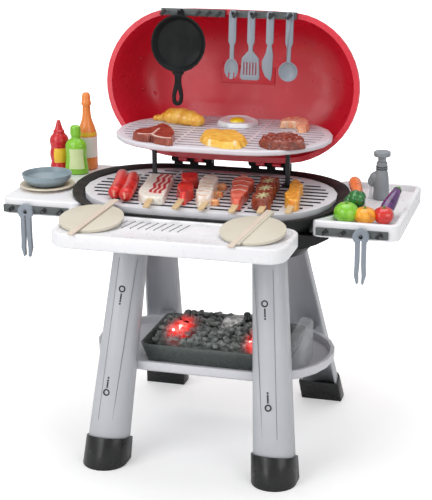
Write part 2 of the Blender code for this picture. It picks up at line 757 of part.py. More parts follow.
# Hanging tools: each is drawn with its hole's middle at the origin, its back at y = 0 and its face at -y
def hole_rise(thickness=TOOL_THICKNESS, radius=TOOL_HOLE_RADIUS):
    """How far the hole's middle lies above the peg's root, so that the peg's top meets the hole's top."""
    return (thickness + GAP) * math.tan(PEG_SLOPE) + PEG_RADIUS / math.cos(PEG_SLOPE) + GAP - radius


def flat_tool(outline, thickness=TOOL_THICKNESS):
    return loft([[Vector((px, 0, pz)) for px, pz in outline], [Vector((px, -thickness, pz)) for px, pz in outline]])


def hole_body(thickness=TOOL_THICKNESS, radius=TOOL_HOLE_RADIUS):
    return tube((0, OVERRUN, 0), (0, -thickness - OVERRUN, 0), radius)


def handle_outline(blade):
    """Left half of a handle: the blade's points from the tip up, then neck, grip and rounded head."""
    half = HANDLE_WIDTH / 2
    neck = NECK_WIDTH / 2
    grip_end = -TOOL_LENGTH * 0.42
    head = [(half * math.cos(math.pi / 2 * i / CORNER_STEPS),
             TOOL_HEAD_ABOVE - half + half * math.sin(math.pi / 2 * i / CORNER_STEPS))
            for i in range(CORNER_STEPS + 1)]
    right = blade + [(neck, blade[-1][1] + NECK_WIDTH), (neck, grip_end - NECK_WIDTH), (half, grip_end)] + head
    left = [(-px, pz) for px, pz in reversed(right) if px > 0]
    return right + left


def make_spatula(material):
    half = SPATULA_WIDTH / 2
    top = -TOOL_LENGTH + SPATULA_BLADE
    blade = [(half * 0.80, -TOOL_LENGTH), (half, -TOOL_LENGTH + half * 0.2), (half * 0.86, top - half * 0.3),
             (half * 0.60, top)]
    tool = piece("spatula", flat_tool(handle_outline(blade)), material)
    pitch = SPATULA_WIDTH * 0.78 / SPATULA_SLITS
    slits = []
    for index in range(SPATULA_SLITS):
        x = pitch * (index - (SPATULA_SLITS - 1) / 2)
        low = -TOOL_LENGTH + SPATULA_BLADE * 0.20
        slits.append(block((x - SPATULA_SLIT_WIDTH / 2, -TOOL_THICKNESS - OVERRUN, low),
                           (x + SPATULA_SLIT_WIDTH / 2, OVERRUN, low + SPATULA_BLADE * 0.52)))
    return cut(tool, hole_body(), *slits)


def make_knife(material):
    half = HANDLE_WIDTH / 2
    neck = NECK_WIDTH / 2
    grip_end = -TOOL_LENGTH * 0.42
    head = [(half * math.cos(math.pi * i / (2 * CORNER_STEPS)),
             TOOL_HEAD_ABOVE - half + half * math.sin(math.pi * i / (2 * CORNER_STEPS)))
            for i in range(2 * CORNER_STEPS + 1)]
    outline = [(half * 0.55, -TOOL_LENGTH), (half * 0.9, -TOOL_LENGTH * 0.90), (half, -TOOL_LENGTH * 0.60),
               (neck, grip_end - NECK_WIDTH * 0.6), (half, grip_end)] + head
    outline += [(-half, grip_end), (-neck, grip_end - NECK_WIDTH * 0.6), (-half, -TOOL_LENGTH * 0.59),
                (-half - KNIFE_BULGE * 0.75, -TOOL_LENGTH * 0.70), (-half - KNIFE_BULGE * 0.70, -TOOL_LENGTH * 0.82),
                (-half, -TOOL_LENGTH * 0.93)]
    return cut(piece("knife", flat_tool(outline), material), hole_body())


def dish(radius_x, radius_z, depth, wall, centre_z, bulge):
    """A shallow spoon bowl, hollow towards -y, whose rim lies at the tool's face."""
    shares = ((0.35, 1.0), (0.72, 0.78), (0.93, 0.38), (1.0, 0.0))
    outer = [[Vector((px * radius_x * s, d * depth - bulge, centre_z + pz * radius_z * s)) for px, pz in circle(1)]
             for s, d in shares]
    inner = [[Vector((px * (radius_x * s - wall), d * (depth - wall) - bulge,
                      centre_z + pz * (radius_z * s - wall))) for px, pz in circle(1)]
             for s, d in reversed(shares)]
    return loft(outer + inner)


def make_ladle(material):
    centre = -TOOL_LENGTH + LADLE_RADIUS
    blade = [(NECK_WIDTH / 2, centre + LADLE_RADIUS * 0.93)]
    tool = piece("ladle", flat_tool(handle_outline(blade)), material)
    fuse(tool, dish(LADLE_RADIUS, LADLE_RADIUS, LADLE_DEPTH * 0.6, TOOL_THICKNESS * 0.4, centre, TOOL_THICKNESS))
    return cut(tool, hole_body())


def make_spork(material):
    half = SPORK_WIDTH / 2
    reach = half * 1.45
    centre = -TOOL_LENGTH + reach
    blade = [(NECK_WIDTH / 2, centre + reach * 0.93)]
    tool = piece("fork_spoon", flat_tool(handle_outline(blade)), material)
    fuse(tool, dish(half, reach, LADLE_DEPTH * 0.4, TOOL_THICKNESS * 0.4, centre, TOOL_THICKNESS))
    gaps = []
    for x in (-half * 0.36, half * 0.36):
        gaps.append(block((x - SPATULA_SLIT_WIDTH / 2, -TOOL_THICKNESS - LADLE_DEPTH, -TOOL_LENGTH - OVERRUN),
                          (x + SPATULA_SLIT_WIDTH / 2, LADLE_DEPTH, -TOOL_LENGTH + reach * 0.62)))
    return cut(tool, hole_body(), *gaps)


def make_pan(material):
    centre = Vector((0, 0, -PAN_DROP))
    outer = [(PAN_RADIUS * 0.84, 0.0), (PAN_RADIUS, -PAN_DEPTH), (PAN_RADIUS - PAN_WALL, -PAN_DEPTH),
             (PAN_RADIUS * 0.84 - PAN_WALL / 2, -PAN_WALL)]
    rings = [[centre + Vector((px, y, pz)) for px, pz in circle(r, ROUND_STEPS + CORNER_STEPS)] for r, y in outer]
    pan = piece("pan", loft(rings), material)
    half = PAN_HANDLE_WIDTH / 2
    end = -PAN_DROP - PAN_RADIUS - PAN_HANDLE_LENGTH + half
    arc = [(half * math.cos(math.pi * i / (2 * CORNER_STEPS)), end - half * math.sin(math.pi * i / (2 * CORNER_STEPS)))
           for i in range(2 * CORNER_STEPS + 1)]
    grip = arc + [(-half * 0.7, -PAN_DROP - PAN_RADIUS * 0.93), (half * 0.7, -PAN_DROP - PAN_RADIUS * 0.93)]
    handle = moved(flat_tool(grip), (0, -PAN_DEPTH + TOOL_THICKNESS * 1.5, 0))
    tab_low = -PAN_DROP + PAN_RADIUS * 0.80
    tab = [(half, tab_low), (half, 0)] + [(half * math.cos(math.pi * i / (2 * CORNER_STEPS)),
                                          half * math.sin(math.pi * i / (2 * CORNER_STEPS)))
                                         for i in range(1, 2 * CORNER_STEPS)] + [(-half, 0), (-half, tab_low)]
    fuse(pan, handle, flat_tool(tab))
    slot_width = half * 0.42
    slot = block((-slot_width, -PAN_DEPTH - OVERRUN, end), (slot_width, OVERRUN, end + PAN_HANDLE_LENGTH * 0.42))
    return cut(pan, hole_body(), slot)


def make_tongs(name, material):
    tongs = piece(name, moved(tube((0, 0, 0), (0, -TONGS_THICKNESS, 0), TONGS_RADIUS, steps=ROUND_STEPS)), material)
    low = -TONGS_LENGTH
    bodies = []
    for side in (-1, 1):
        inner = TOOL_HOLE_RADIUS * 0.55
        outline = [(side * inner, -TONGS_RADIUS * 0.45), (side * (inner + TONGS_ARM_WIDTH), -TONGS_RADIUS * 0.45),
                   (side * TONGS_SPREAD, low * 0.62), (side * (TONGS_SPREAD + TONGS_ARM_WIDTH * 0.12), low * 0.80),
                   (side * TONGS_SPREAD * 0.62, low), (side * TONGS_SPREAD * 0.30, low * 0.97),
                   (side * TONGS_SPREAD * 0.34, low * 0.80), (side * inner, low * 0.55)]
        bodies.append(flat_tool(outline, TONGS_THICKNESS))
    fuse(tongs, *bodies)
    throat = block((-TOOL_HOLE_RADIUS * 0.5, -TONGS_THICKNESS - OVERRUN, -TONGS_RADIUS - TONGS_ARM_WIDTH),
                   (TOOL_HOLE_RADIUS * 0.5, OVERRUN, -TONGS_RADIUS * 0.45))
    return cut(tongs, hole_body(TONGS_THICKNESS, TONGS_HOLE_RADIUS), throat)


# Side trays
def tray_outline(side, inset):
    width = TRAY_OUTER_X - TRAY_INNER_X
    depth = TRAY_BACK_Y - TRAY_FRONT_Y
    middle = ((TRAY_OUTER_X + TRAY_INNER_X) / 2 * side, (TRAY_FRONT_Y + TRAY_BACK_Y) / 2)
    corner = TRAY_CORNER - inset / 2
    return [(px + middle[0], py + middle[1]) for px, py in
            rounded_box(width - 2 * inset, depth - 2 * inset, corner)]


def tub_prism(clearance, low_z, high_z):
    outline = stadium(TUB_WALL_WIDTH + 2 * clearance, TUB_WALL_DEPTH + 2 * clearance)
    return loft([level(outline, low_z, y=TUB_Y), level(outline, high_z, y=TUB_Y)])


def tray_hollow(side, inset, low_z, high_z):
    hollow = loft([level(tray_outline(side, inset), low_z), level(tray_outline(side, inset), high_z)])
    return without(hollow, tub_prism(inset, low_z - OVERRUN, high_z + OVERRUN))


def make_tray(name, side, material, recess=0.0):
    rings = [level(tray_outline(side, 0), TRAY_UNDER_Z), level(tray_outline(side, 0), TRAY_TOP_Z - TRAY_WALL / 2),
             level(tray_outline(side, TRAY_WALL / 2), TRAY_TOP_Z)]
    tray = piece(name, loft(rings), material)
    floor = TRAY_TOP_Z - recess
    cut(tray, tub_prism(RUNNING_GAP, TRAY_UNDER_Z - OVERRUN, TRAY_TOP_Z + OVERRUN),
        tray_hollow(side, TRAY_RIM + TRAY_WALL, TRAY_UNDER_Z - OVERRUN, floor - TRAY_WALL))
    if recess:
        cut(tray, tray_hollow(side, TRAY_RIM, floor, TRAY_TOP_Z + OVERRUN))
    return tray


TRAY_RAIL_TOP = TRAY_TOP_Z - TRAY_RAIL_DROP
TRAY_RAIL_FACE_Y = TRAY_FRONT_Y - GAP - TRAY_RAIL_THICKNESS
TRAY_PEG_Z = TRAY_RAIL_TOP - TRAY_PEG_DROP


def tray_peg_x(middle, index):
    span = TRAY_RAIL_LENGTH - 2 * TRAY_RAIL_MARGIN
    return middle - span / 2 + span * index / (TRAY_RAIL_HOOKS - 1)


def make_tray_rail(name, middle, material):
    low = (middle - TRAY_RAIL_LENGTH / 2, TRAY_RAIL_FACE_Y, TRAY_RAIL_TOP - TRAY_RAIL_HEIGHT)
    high = (middle + TRAY_RAIL_LENGTH / 2, TRAY_FRONT_Y - GAP, TRAY_RAIL_TOP)
    rail = piece(name, block(low, high), material)
    return fuse(rail, *[peg((tray_peg_x(middle, i), TRAY_RAIL_FACE_Y, TRAY_PEG_Z)) for i in range(TRAY_RAIL_HOOKS)])


# Front shelf
def make_front_shelf(material):
    depth = SHELF_BACK_Y - SHELF_FRONT_Y
    middle_y = (SHELF_BACK_Y + SHELF_FRONT_Y) / 2
    under = SHELF_TOP_Z - SHELF_THICKNESS

    def outline(inset):
        return [(px, py + middle_y) for px, py in rounded_box(SHELF_WIDTH - 2 * inset, depth - 2 * inset,
                                                               SHELF_CORNER - inset)]
    rings = [level(outline(SHELF_WALL), under), level(outline(0), under + SHELF_WALL),
             level(outline(0), SHELF_TOP_Z - SHELF_WALL), level(outline(SHELF_WALL / 2), SHELF_TOP_Z),
             level(outline(SHELF_RIM), SHELF_TOP_Z), level(outline(SHELF_RIM + SHELF_RECESS), SHELF_FLOOR_Z)]
    shelf = piece("front_shelf", loft(rings), material)
    cut(shelf, loft([level(outline(2 * SHELF_WALL), under - OVERRUN),
                     level(outline(2 * SHELF_WALL), SHELF_FLOOR_Z - SHELF_WALL)]))
    ridges = []
    for index in range(RIDGE_COUNT):
        x = RIDGE_X + RIDGE_PITCH * (index - (RIDGE_COUNT - 1) / 2)
        bar = block((-RIDGE_WIDTH / 2, -RIDGE_LENGTH / 2, -SHELF_RECESS / 2), (RIDGE_WIDTH / 2, RIDGE_LENGTH / 2, RIDGE_HEIGHT))
        ridges.append(moved(bar, (x, RIDGE_Y, SHELF_FLOOR_Z), Matrix.Rotation(RIDGE_LEAN, 4, "Z")))
    return fuse(shelf, *ridges)


# Legs and feet
def shoe_outline(width, depth, facing, flat_share=FOOT_OUTER_FLAT_SHARE):
    """A half-round section: flat towards +y for facing 1 and round at the other side."""
    start = depth * flat_share
    points = [(width / 2, depth / 2)]
    for i in range(ARC_STEPS + 1):
        angle = -math.pi * i / ARC_STEPS
        points.append((width / 2 * math.cos(angle), start + (depth / 2 + start) * math.sin(angle)))
    points.append((-width / 2, depth / 2))
    return [(px, py * facing) for px, py in points]


def channel_outline(width, depth, wall, facing):
    outer = shoe_outline(width, depth, 1)
    inner = [(px, py) for px, py in shoe_outline(width - 2 * wall, depth - 2 * wall, 1)]
    inner[0] = (inner[0][0], depth / 2)
    inner[-1] = (inner[-1][0], depth / 2)
    return [(px, py * facing) for px, py in outer + inner[::-1]]


def leg_middle(top, floor, z):
    share = 1 - z / TUB_FLOOR_Z
    return top[0] + (floor[0] - top[0]) * share, top[1] + (floor[1] - top[1]) * share


def leg_size(z):
    share = 1 - z / TUB_FLOOR_Z
    return (LEG_TOP_WIDTH + (LEG_FLOOR_WIDTH - LEG_TOP_WIDTH) * share,
            LEG_TOP_DEPTH + (LEG_FLOOR_DEPTH - LEG_TOP_DEPTH) * share)


def leg_section(side, top, floor, z, facing, outline, extra=0.0):
    x, y = leg_middle(top, floor, z)
    width, depth = leg_size(z)
    return level(outline(width + 2 * extra, depth + 2 * extra, facing), z, side * x, y)


def make_leg(name, side, top, floor, facing, material):
    def outline(width, depth, way):
        return channel_outline(width, depth, LEG_WALL, way)
    rings = [leg_section(side, top, floor, z, facing, outline)
             for z in (LEG_FOOT_PLUG_Z + GAP, TUB_FLOOR_Z + LEG_ABOVE_FLOOR)]
    bowl = moved(loft(bowl_rings(GAP, TUB_FLOOR_Z)), (0, TUB_Y, -GAP))
    return cut(piece(name, loft(rings), material), bowl)


def leg_collar(side, top, floor, facing, extra):
    """The leg's outline grown by extra, cut off by the foot's slanted top: high at the round side."""
    middle = (FOOT_BACK_Z + FOOT_FRONT_Z) / 2
    _, centre = leg_middle(top, floor, middle)
    ring = []
    for i, point in enumerate(leg_section(side, top, floor, middle, facing, shoe_outline, extra)):
        share = 0.5 - (point.y - centre) * facing / FOOT_DEPTH
        z = FOOT_BACK_Z + (FOOT_FRONT_Z - FOOT_BACK_Z) * share
        ring.append(leg_section(side, top, floor, z, facing, shoe_outline, extra)[i])
    return ring


def make_foot(name, side, top, floor, facing, material):
    x, y = leg_middle(top, floor, 0)
    base = level(shoe_outline(FOOT_WIDTH, FOOT_DEPTH, facing), 0, side * x, y)
    rings = [base, leg_collar(side, top, floor, facing, RUNNING_GAP + FOOT_WALL),
             leg_collar(side, top, floor, facing, RUNNING_GAP),
             leg_section(side, top, floor, LEG_FOOT_PLUG_Z, facing, shoe_outline, RUNNING_GAP)]
    return piece(name, loft(rings), material)


def channel_reach(top, floor, z, half_width):
    """How far towards the round side, from the leg's middle, a lug this wide goes inside the channel at z."""
    width, depth = (size - 2 * LEG_WALL for size in leg_size(z))
    start = depth * FOOT_OUTER_FLAT_SHARE
    return (depth / 2 + start) * math.sqrt(1 - (2 * half_width / width) ** 2) - start - RUNNING_GAP


# Lower shelf and what stands on it
def make_lower_shelf(material):
    outline = stadium(LOWER_WIDTH, LOWER_DEPTH)
    eased = stadium(LOWER_WIDTH - LOWER_RIM, LOWER_DEPTH - LOWER_RIM)
    inner = stadium(LOWER_WIDTH - 2 * LOWER_RIM, LOWER_DEPTH - 2 * LOWER_RIM)
    rings = [level(eased, LOWER_UNDER_Z, y=LOWER_Y), level(outline, LOWER_UNDER_Z + LOWER_RIM / 2, y=LOWER_Y),
             level(outline, LOWER_TOP_Z, y=LOWER_Y), level(inner, LOWER_TOP_Z, y=LOWER_Y),
             level(inner, LOWER_FLOOR_Z, y=LOWER_Y)]
    shelf = piece("lower_shelf", loft(rings), material)
    lug_top = LOWER_UNDER_Z + LUG_THICKNESS
    bodies = []
    for side in (-1, 1):
        for top, floor, facing in LEG_LINES:
            x, y = leg_middle(top, floor, lug_top)
            lean = abs(leg_middle(top, floor, LOWER_UNDER_Z)[0] - x)
            reach = channel_reach(top, floor, lug_top, LUG_WIDTH / 2 + lean)
            start = LOWER_Y - facing * (LOWER_DEPTH / 2 - LOWER_RIM * 4)
            low_y, high_y = sorted((start, y - facing * reach))
            bodies.append(block((side * x - LUG_WIDTH / 2, low_y, LOWER_UNDER_Z + GAP),
                                (side * x + LUG_WIDTH / 2, high_y, lug_top)))
    fuse(shelf, *bodies)
    return cut(shelf, loft([level(inner, LOWER_FLOOR_Z, y=LOWER_Y), level(inner, LOWER_TOP_Z + OVERRUN, y=LOWER_Y)]))


def coal_outline(inset):
    return rounded_box(COAL_TRAY_WIDTH - 2 * inset, COAL_TRAY_DEPTH - 2 * inset, COAL_TRAY_CORNER)


def make_coal_tray(material):
    under = LOWER_FLOOR_Z + GAP
    top = under + COAL_TRAY_HEIGHT
    rings = [level(coal_outline(COAL_TRAY_TAPER), under), level(coal_outline(0), top),
             level(coal_outline(COAL_TRAY_WALL), top), level(coal_outline(COAL_TRAY_TAPER + COAL_TRAY_WALL), COAL_FLOOR_Z)]
    tray = piece("charcoal_tray", loft(rings), material)
    back = COAL_TRAY_DEPTH / 2
    window = block((-DOOR_WIDTH / 2, back - COAL_TRAY_TAPER * 2, DOOR_Z), (DOOR_WIDTH / 2, back + OVERRUN, DOOR_Z + DOOR_HEIGHT))
    hole = tube((SWITCH_OFFSET_X, back - COAL_TRAY_TAPER * 2, SWITCH_Z), (SWITCH_OFFSET_X, back + OVERRUN, SWITCH_Z),
                SWITCH_RADIUS + RUNNING_GAP, steps=ROUND_STEPS)
    return put(cut(tray, window, hole), (COAL_TRAY_X, COAL_TRAY_Y, 0))


DOOR_Z = COAL_FLOOR_Z + COAL_TRAY_WALL * 2
SWITCH_Z = DOOR_Z + DOOR_HEIGHT / 2
UNIT_BACK_Y = COAL_TRAY_Y + COAL_TRAY_DEPTH / 2 - COAL_TRAY_TAPER - COAL_TRAY_WALL - GAP
DOOR_THICKNESS_SHARE = 0.55


def make_unit(material):
    low = (COAL_TRAY_X - UNIT_WIDTH / 2, UNIT_BACK_Y - UNIT_DEPTH, COAL_FLOOR_Z + GAP)
    high = (COAL_TRAY_X + UNIT_WIDTH / 2, UNIT_BACK_Y, COAL_FLOOR_Z + GAP + UNIT_HEIGHT)
    unit = piece("light_and_mist_unit", block(low, high), material)
    x, y = COAL_TRAY_X + NOZZLE_RADIUS * 3, UNIT_BACK_Y - UNIT_DEPTH / 2
    fuse(unit, tube((x, y, high[2] - GAP), (x, y, high[2] + NOZZLE_HEIGHT), NOZZLE_RADIUS, NOZZLE_RADIUS * 0.6, ROUND_STEPS))
    bay = block((COAL_TRAY_X - DOOR_WIDTH / 2, UNIT_BACK_Y - UNIT_DEPTH * 0.7, DOOR_Z),
                (COAL_TRAY_X + DOOR_WIDTH / 2, UNIT_BACK_Y + OVERRUN, DOOR_Z + DOOR_HEIGHT))
    socket = tube((COAL_TRAY_X + SWITCH_OFFSET_X, UNIT_BACK_Y - SWITCH_LENGTH / 2, SWITCH_Z),
                  (COAL_TRAY_X + SWITCH_OFFSET_X, UNIT_BACK_Y + OVERRUN, SWITCH_Z), SWITCH_RADIUS + RUNNING_GAP)
    bore = tube((x, y, high[2] - NOZZLE_HEIGHT), (x, y, high[2] + NOZZLE_HEIGHT + OVERRUN), NOZZLE_BORE)
    return cut(unit, bay, socket, bore)


def make_battery_door(material):
    low = (COAL_TRAY_X - DOOR_WIDTH / 2 + GAP, UNIT_BACK_Y - COAL_TRAY_WALL, DOOR_Z + GAP)
    high = (COAL_TRAY_X + DOOR_WIDTH / 2 - GAP, UNIT_BACK_Y + COAL_TRAY_TAPER * DOOR_THICKNESS_SHARE, DOOR_Z + DOOR_HEIGHT - GAP)
    return piece("battery_door", block(low, high), material)


def make_switch(material):
    back = UNIT_BACK_Y + COAL_TRAY_TAPER + COAL_TRAY_WALL + SWITCH_TRAVEL
    start = UNIT_BACK_Y - SWITCH_LENGTH / 2 + SWITCH_TRAVEL + GAP
    button = tube((0, start - back, 0), (0, 0, 0), SWITCH_RADIUS, SWITCH_RADIUS * 0.94, ROUND_STEPS)
    return put(piece("power_button", button, material), (COAL_TRAY_X + SWITCH_OFFSET_X, back, SWITCH_Z))


def make_heap(material):
    """The bed of charcoal lumps as one bumpy mound inside the tray, in front of the light and mist unit."""
    inset = COAL_TRAY_TAPER + COAL_TRAY_WALL + GAP
    half = COAL_TRAY_WIDTH / 2 - inset - COAL_TRAY_CORNER / 3
    front = COAL_TRAY_Y - COAL_TRAY_DEPTH / 2 + inset + COAL_TRAY_CORNER / 3
    back = UNIT_BACK_Y - UNIT_DEPTH - GAP
    bottom = COAL_FLOOR_Z + GAP
    bm = bmesh.new()
    rows = []
    for row in range(HEAP_ROWS + 1):
        v = row / HEAP_ROWS
        line = []
        for column in range(HEAP_COLUMNS + 1):
            u = column / HEAP_COLUMNS
            crown = math.sin(math.pi * u) ** 0.5 * math.sin(math.pi * v) ** 0.5
            bump = HEAP_BUMP * math.sin(column * 2.1 + row * 1.3) * math.cos(column * 1.7 - row * 2.9)
            height = HEAP_EDGE_HEIGHT + (HEAP_HEIGHT - HEAP_EDGE_HEIGHT) * crown + bump
            x = COAL_TRAY_X + half * (2 * u - 1)
            line.append(bm.verts.new((x, front + (back - front) * v, bottom + height)))
        rows.append(line)
    for a, b in zip(rows, rows[1:]):
        for i in range(HEAP_COLUMNS):
            bm.faces.new((a[i], a[i + 1], b[i + 1], b[i]))
    border = rows[0] + [r[-1] for r in rows[1:]] + rows[-1][-2::-1] + [r[0] for r in rows[-2:0:-1]]
    under = [bm.verts.new((v.co.x, v.co.y, bottom)) for v in border]
    for i in range(len(border)):
        j = (i + 1) % len(border)
        bm.faces.new((border[j], border[i], under[i], under[j]))
    bm.faces.new(under)
    bmesh.ops.recalc_face_normals(bm, faces=bm.faces)
    return piece("charcoal_bed", bm, material)


def make_tank(material):
    outline = rounded_box(TANK_WIDTH, TANK_DEPTH, TANK_CORNER)
    shoulder = rounded_box(TANK_WIDTH - TANK_CORNER, TANK_DEPTH - TANK_CORNER, TANK_CORNER / 2)
    rings = [level(outline, 0), level(outline, TANK_HEIGHT - TANK_CORNER), level(shoulder, TANK_HEIGHT)]
    tank = piece("water_tank", loft(rings), material)
    cap_y = TANK_DEPTH / 4
    fuse(tank, tube((0, cap_y, TANK_HEIGHT - GAP), (0, cap_y, TANK_HEIGHT + TANK_CAP_HEIGHT), TANK_CAP_RADIUS, steps=ROUND_STEPS))
    x = COAL_TRAY_X + COAL_TRAY_WIDTH / 2 + RUNNING_GAP + TANK_WIDTH / 2
    return put(tank, (x, TANK_FRONT_Y + TANK_DEPTH / 2, LOWER_FLOOR_Z + GAP))


# Tap
def make_tap(material):
    heights = [share * TAP_BODY_HEIGHT for share in TAP_HEIGHT_SHARES]
    radii = [share * TAP_BASE_RADIUS for share in TAP_RADIUS_SHARES]
    tap = piece("tap_body", turned(heights, radii), material)
    half = SPOUT_WIDTH / 2
    top = TAP_BODY_HEIGHT * 0.66
    hood = [(0, top), (-SPOUT_REACH * 0.45, top - SPOUT_HEIGHT * 0.12), (-SPOUT_REACH * 0.85, top - SPOUT_HEIGHT * 0.75),
            (-SPOUT_REACH, top - SPOUT_HEIGHT - SPOUT_DROP * 0.6), (-SPOUT_REACH * 0.62, top - SPOUT_HEIGHT - SPOUT_DROP * 0.7),
            (-SPOUT_REACH * 0.40, top - SPOUT_HEIGHT), (0, top - SPOUT_HEIGHT)]
    fuse(tap, loft([[Vector((px, y, pz)) for px, pz in hood] for y in (-half, half)]))
    cut(tap, tube((0, 0, TAP_BODY_HEIGHT - TAP_BORE_DEPTH), (0, 0, TAP_BODY_HEIGHT + OVERRUN), TAP_BORE_RADIUS, steps=ROUND_STEPS))
    return put(tap, (TAP_X, TAP_Y, SINK_FLOOR_Z + GAP))


def make_tap_knob(material):
    stem = TAP_BORE_RADIUS - RUNNING_GAP
    low = -(TAP_BORE_DEPTH - TAP_TRAVEL - GAP)
    under = TAP_KNOB_STANDOFF
    top = under + TAP_KNOB_HEIGHT
    heights = (low, under, under, under + TAP_KNOB_HEIGHT * 0.18, top - TAP_KNOB_HEIGHT * 0.18, top)
    radii = (stem, stem, TAP_KNOB_RADIUS * 0.9, TAP_KNOB_RADIUS, TAP_KNOB_RADIUS, TAP_KNOB_RADIUS * 0.9)
    knob = piece("tap_knob", turned(heights, radii), material)
    return put(knob, (TAP_X, TAP_Y, SINK_FLOOR_Z + GAP + TAP_BODY_HEIGHT))


# Bowl, plate and bottles
def make_plate(material):
    r, t = PLATE_RADIUS, PLATE_THICKNESS
    heights = (0, 0, PLATE_HEIGHT * 0.35, PLATE_HEIGHT - t, PLATE_HEIGHT, PLATE_HEIGHT * 0.35 + t, t, t)
    radii = (r * 0.30, r * 0.58, r * 0.66, r, r * 0.97, r * 0.62, r * 0.54, r * 0.30)
    return put(piece("plate", turned(heights, radii), material), (BOWL_X, BOWL_Y, TRAY_TOP_Z + GAP))


def make_bowl(material):
    r, h, t = BOWL_RADIUS, BOWL_HEIGHT, BOWL_WALL
    heights = (0, h * 0.22, h * 0.62, h, h, h * 0.62, h * 0.22 + t, t)
    radii = (r * 0.48, r * 0.74, r * 0.95, r, r - t, r * 0.95 - t, r * 0.74 - t, r * 0.48 - t)
    floor = TRAY_TOP_Z + GAP + PLATE_THICKNESS + GAP
    return put(piece("bowl", turned(heights, radii), material), (BOWL_X, BOWL_Y, floor))


def make_bottle(name, place, height_shares, radius_shares, flat, material):
    x, y, radius, height = place
    bm = turned([s * height for s in height_shares], [s * radius for s in radius_shares], ROUND_STEPS, flat)
    return put(piece(name, bm, material), (x, y, TRAY_TOP_Z + GAP))


# Paddles
def make_paddle(name, x, material):
    front_z = SHELF_FLOOR_Z + GAP
    rest_y = TUB_Y - GRATE_DEPTH / 2
    lean = math.atan2(GRATE_TOP_Z + GAP - front_z, rest_y - PADDLE_FRONT_Y)
    disc = piece(name, tube((0, PADDLE_RADIUS, 0), (0, PADDLE_RADIUS, PADDLE_THICKNESS), PADDLE_RADIUS,
                            steps=2 * SMALL_ROUND_STEPS + CORNER_STEPS), material)
    half = PADDLE_STICK_WIDTH / 2
    front_bar = block((-half, -PADDLE_STICK_FRONT, PADDLE_THICKNESS - GAP), (half, 0, PADDLE_THICKNESS + PADDLE_STICK_PROUD))
    back_bar = block((-half, -half, PADDLE_THICKNESS / 4), (half, PADDLE_STICK_BACK, PADDLE_THICKNESS + PADDLE_STICK_PROUD))
    turn = Matrix.Rotation(PADDLE_STICK_TURN, 4, "Z")
    fuse(disc, *[moved(bar, (0, PADDLE_RADIUS, 0), turn) for bar in (front_bar, back_bar)])
    put(disc, (x, PADDLE_FRONT_Y, front_z))
    disc.rotation_euler = (lean, 0, 0)
    return disc


# Food on the main grate: each is drawn along +Y from its front end and then turned to its place
def along(front, back):
    dx, dy = back[0] - front[0], back[1] - front[1]
    return math.hypot(dx, dy), math.atan2(-dx, dy)


def lay(obj, front, back, z=None):
    put(obj, (front[0], front[1], GRATE_TOP_Z + GAP if z is None else z))
    obj.rotation_euler = (0, 0, along(front, back)[1])
    return obj


def stick(reach):
    half = STICK_WIDTH / 2
    return block((-half, -reach, STICK_RISE), (half, STICK_WIDTH, STICK_RISE + STICK_THICKNESS))


def lump(length, half_width, height, steps=SMALL_ROUND_STEPS):
    """A body with a flat underside and a rounded top, along +Y from the origin."""
    shares = ((0.0, 0.45), (0.06, 0.80), (0.2, 1.0), (0.8, 1.0), (0.94, 0.80), (1.0, 0.45))
    rings = []
    for along_share, size in shares:
        ring = []
        for i in range(steps):
            angle = math.tau * i / steps
            z = height / 2 + height / 2 * size * math.sin(angle)
            ring.append(Vector((half_width * size * math.cos(angle), along_share * length, max(z, 0))))
        rings.append(ring)
    return loft(rings)


def beads(length, radius, count, steps=SMALL_ROUND_STEPS, neck=0.62):
    rings = [[Vector((px, 0, radius + pz)) for px, pz in circle(radius * 0.5, steps)]]
    for index in range(count):
        for share, size in ((0.18, 0.92), (0.5, 1.0), (0.82, 0.92)):
            y = length * (index + share) / count
            rings.append([Vector((px, y, radius + pz)) for px, pz in circle(radius * size, steps)])
        last = index == count - 1
        y = length * (index + 1) / count
        rings.append([Vector((px, y, radius + pz)) for px, pz in circle(radius * (0.5 if last else neck), steps)])
    return loft(rings)


def make_sausages(material):
    length, turn = along(SAUSAGE_FRONT_LEFT, SAUSAGE_BACK_LEFT)
    first = piece("sausage_pair", lump(length, SAUSAGE_RADIUS, SAUSAGE_RADIUS * 2), material)
    shift = (SAUSAGE_FRONT_RIGHT[0] - SAUSAGE_FRONT_LEFT[0], SAUSAGE_FRONT_RIGHT[1] - SAUSAGE_FRONT_LEFT[1], 0)
    offset = Matrix.Rotation(-turn, 4, "Z") @ Vector(shift)
    fuse(first, moved(lump(length, SAUSAGE_RADIUS, SAUSAGE_RADIUS * 2), offset))
    return lay(first, SAUSAGE_FRONT_LEFT, SAUSAGE_BACK_LEFT)


def make_skewer(name, front, back, body, reach, material):
    obj = piece(name, body(along(front, back)[0]), material)
    fuse(obj, stick(reach))
    return lay(obj, front, back)


def bacon_body(length):
    return lump(length, BACON_HALF_WIDTH, BACON_THICKNESS)


def ball_body(length):
    return beads(length, BALL_RADIUS, BALL_COUNT)


def squid_body(length):
    return lump(length, SQUID_HALF_WIDTH, SQUID_HALF_WIDTH)


def salmon_body(length):
    return lump(length, SALMON_HALF_WIDTH, SALMON_HALF_WIDTH)


def mushroom_body(length):
    return beads(length, MUSHROOM_RADIUS, MUSHROOM_COUNT, neck=0.86)


def corn_body(length):
    return lump(length, CORN_RADIUS, CORN_RADIUS * 2)


# Food on the upper rack
def slab(outline, height, edge_share=0.82):
    """A low loaf over an outline: its foot and its top are drawn in and its middle is full."""
    def ring(scale, z):
        return [Vector((px * scale, py * scale, z)) for px, py in outline]
    return loft([ring(0.90, 0), ring(1.0, height * 0.35), ring(0.97, height * 0.7), ring(edge_share, height)])


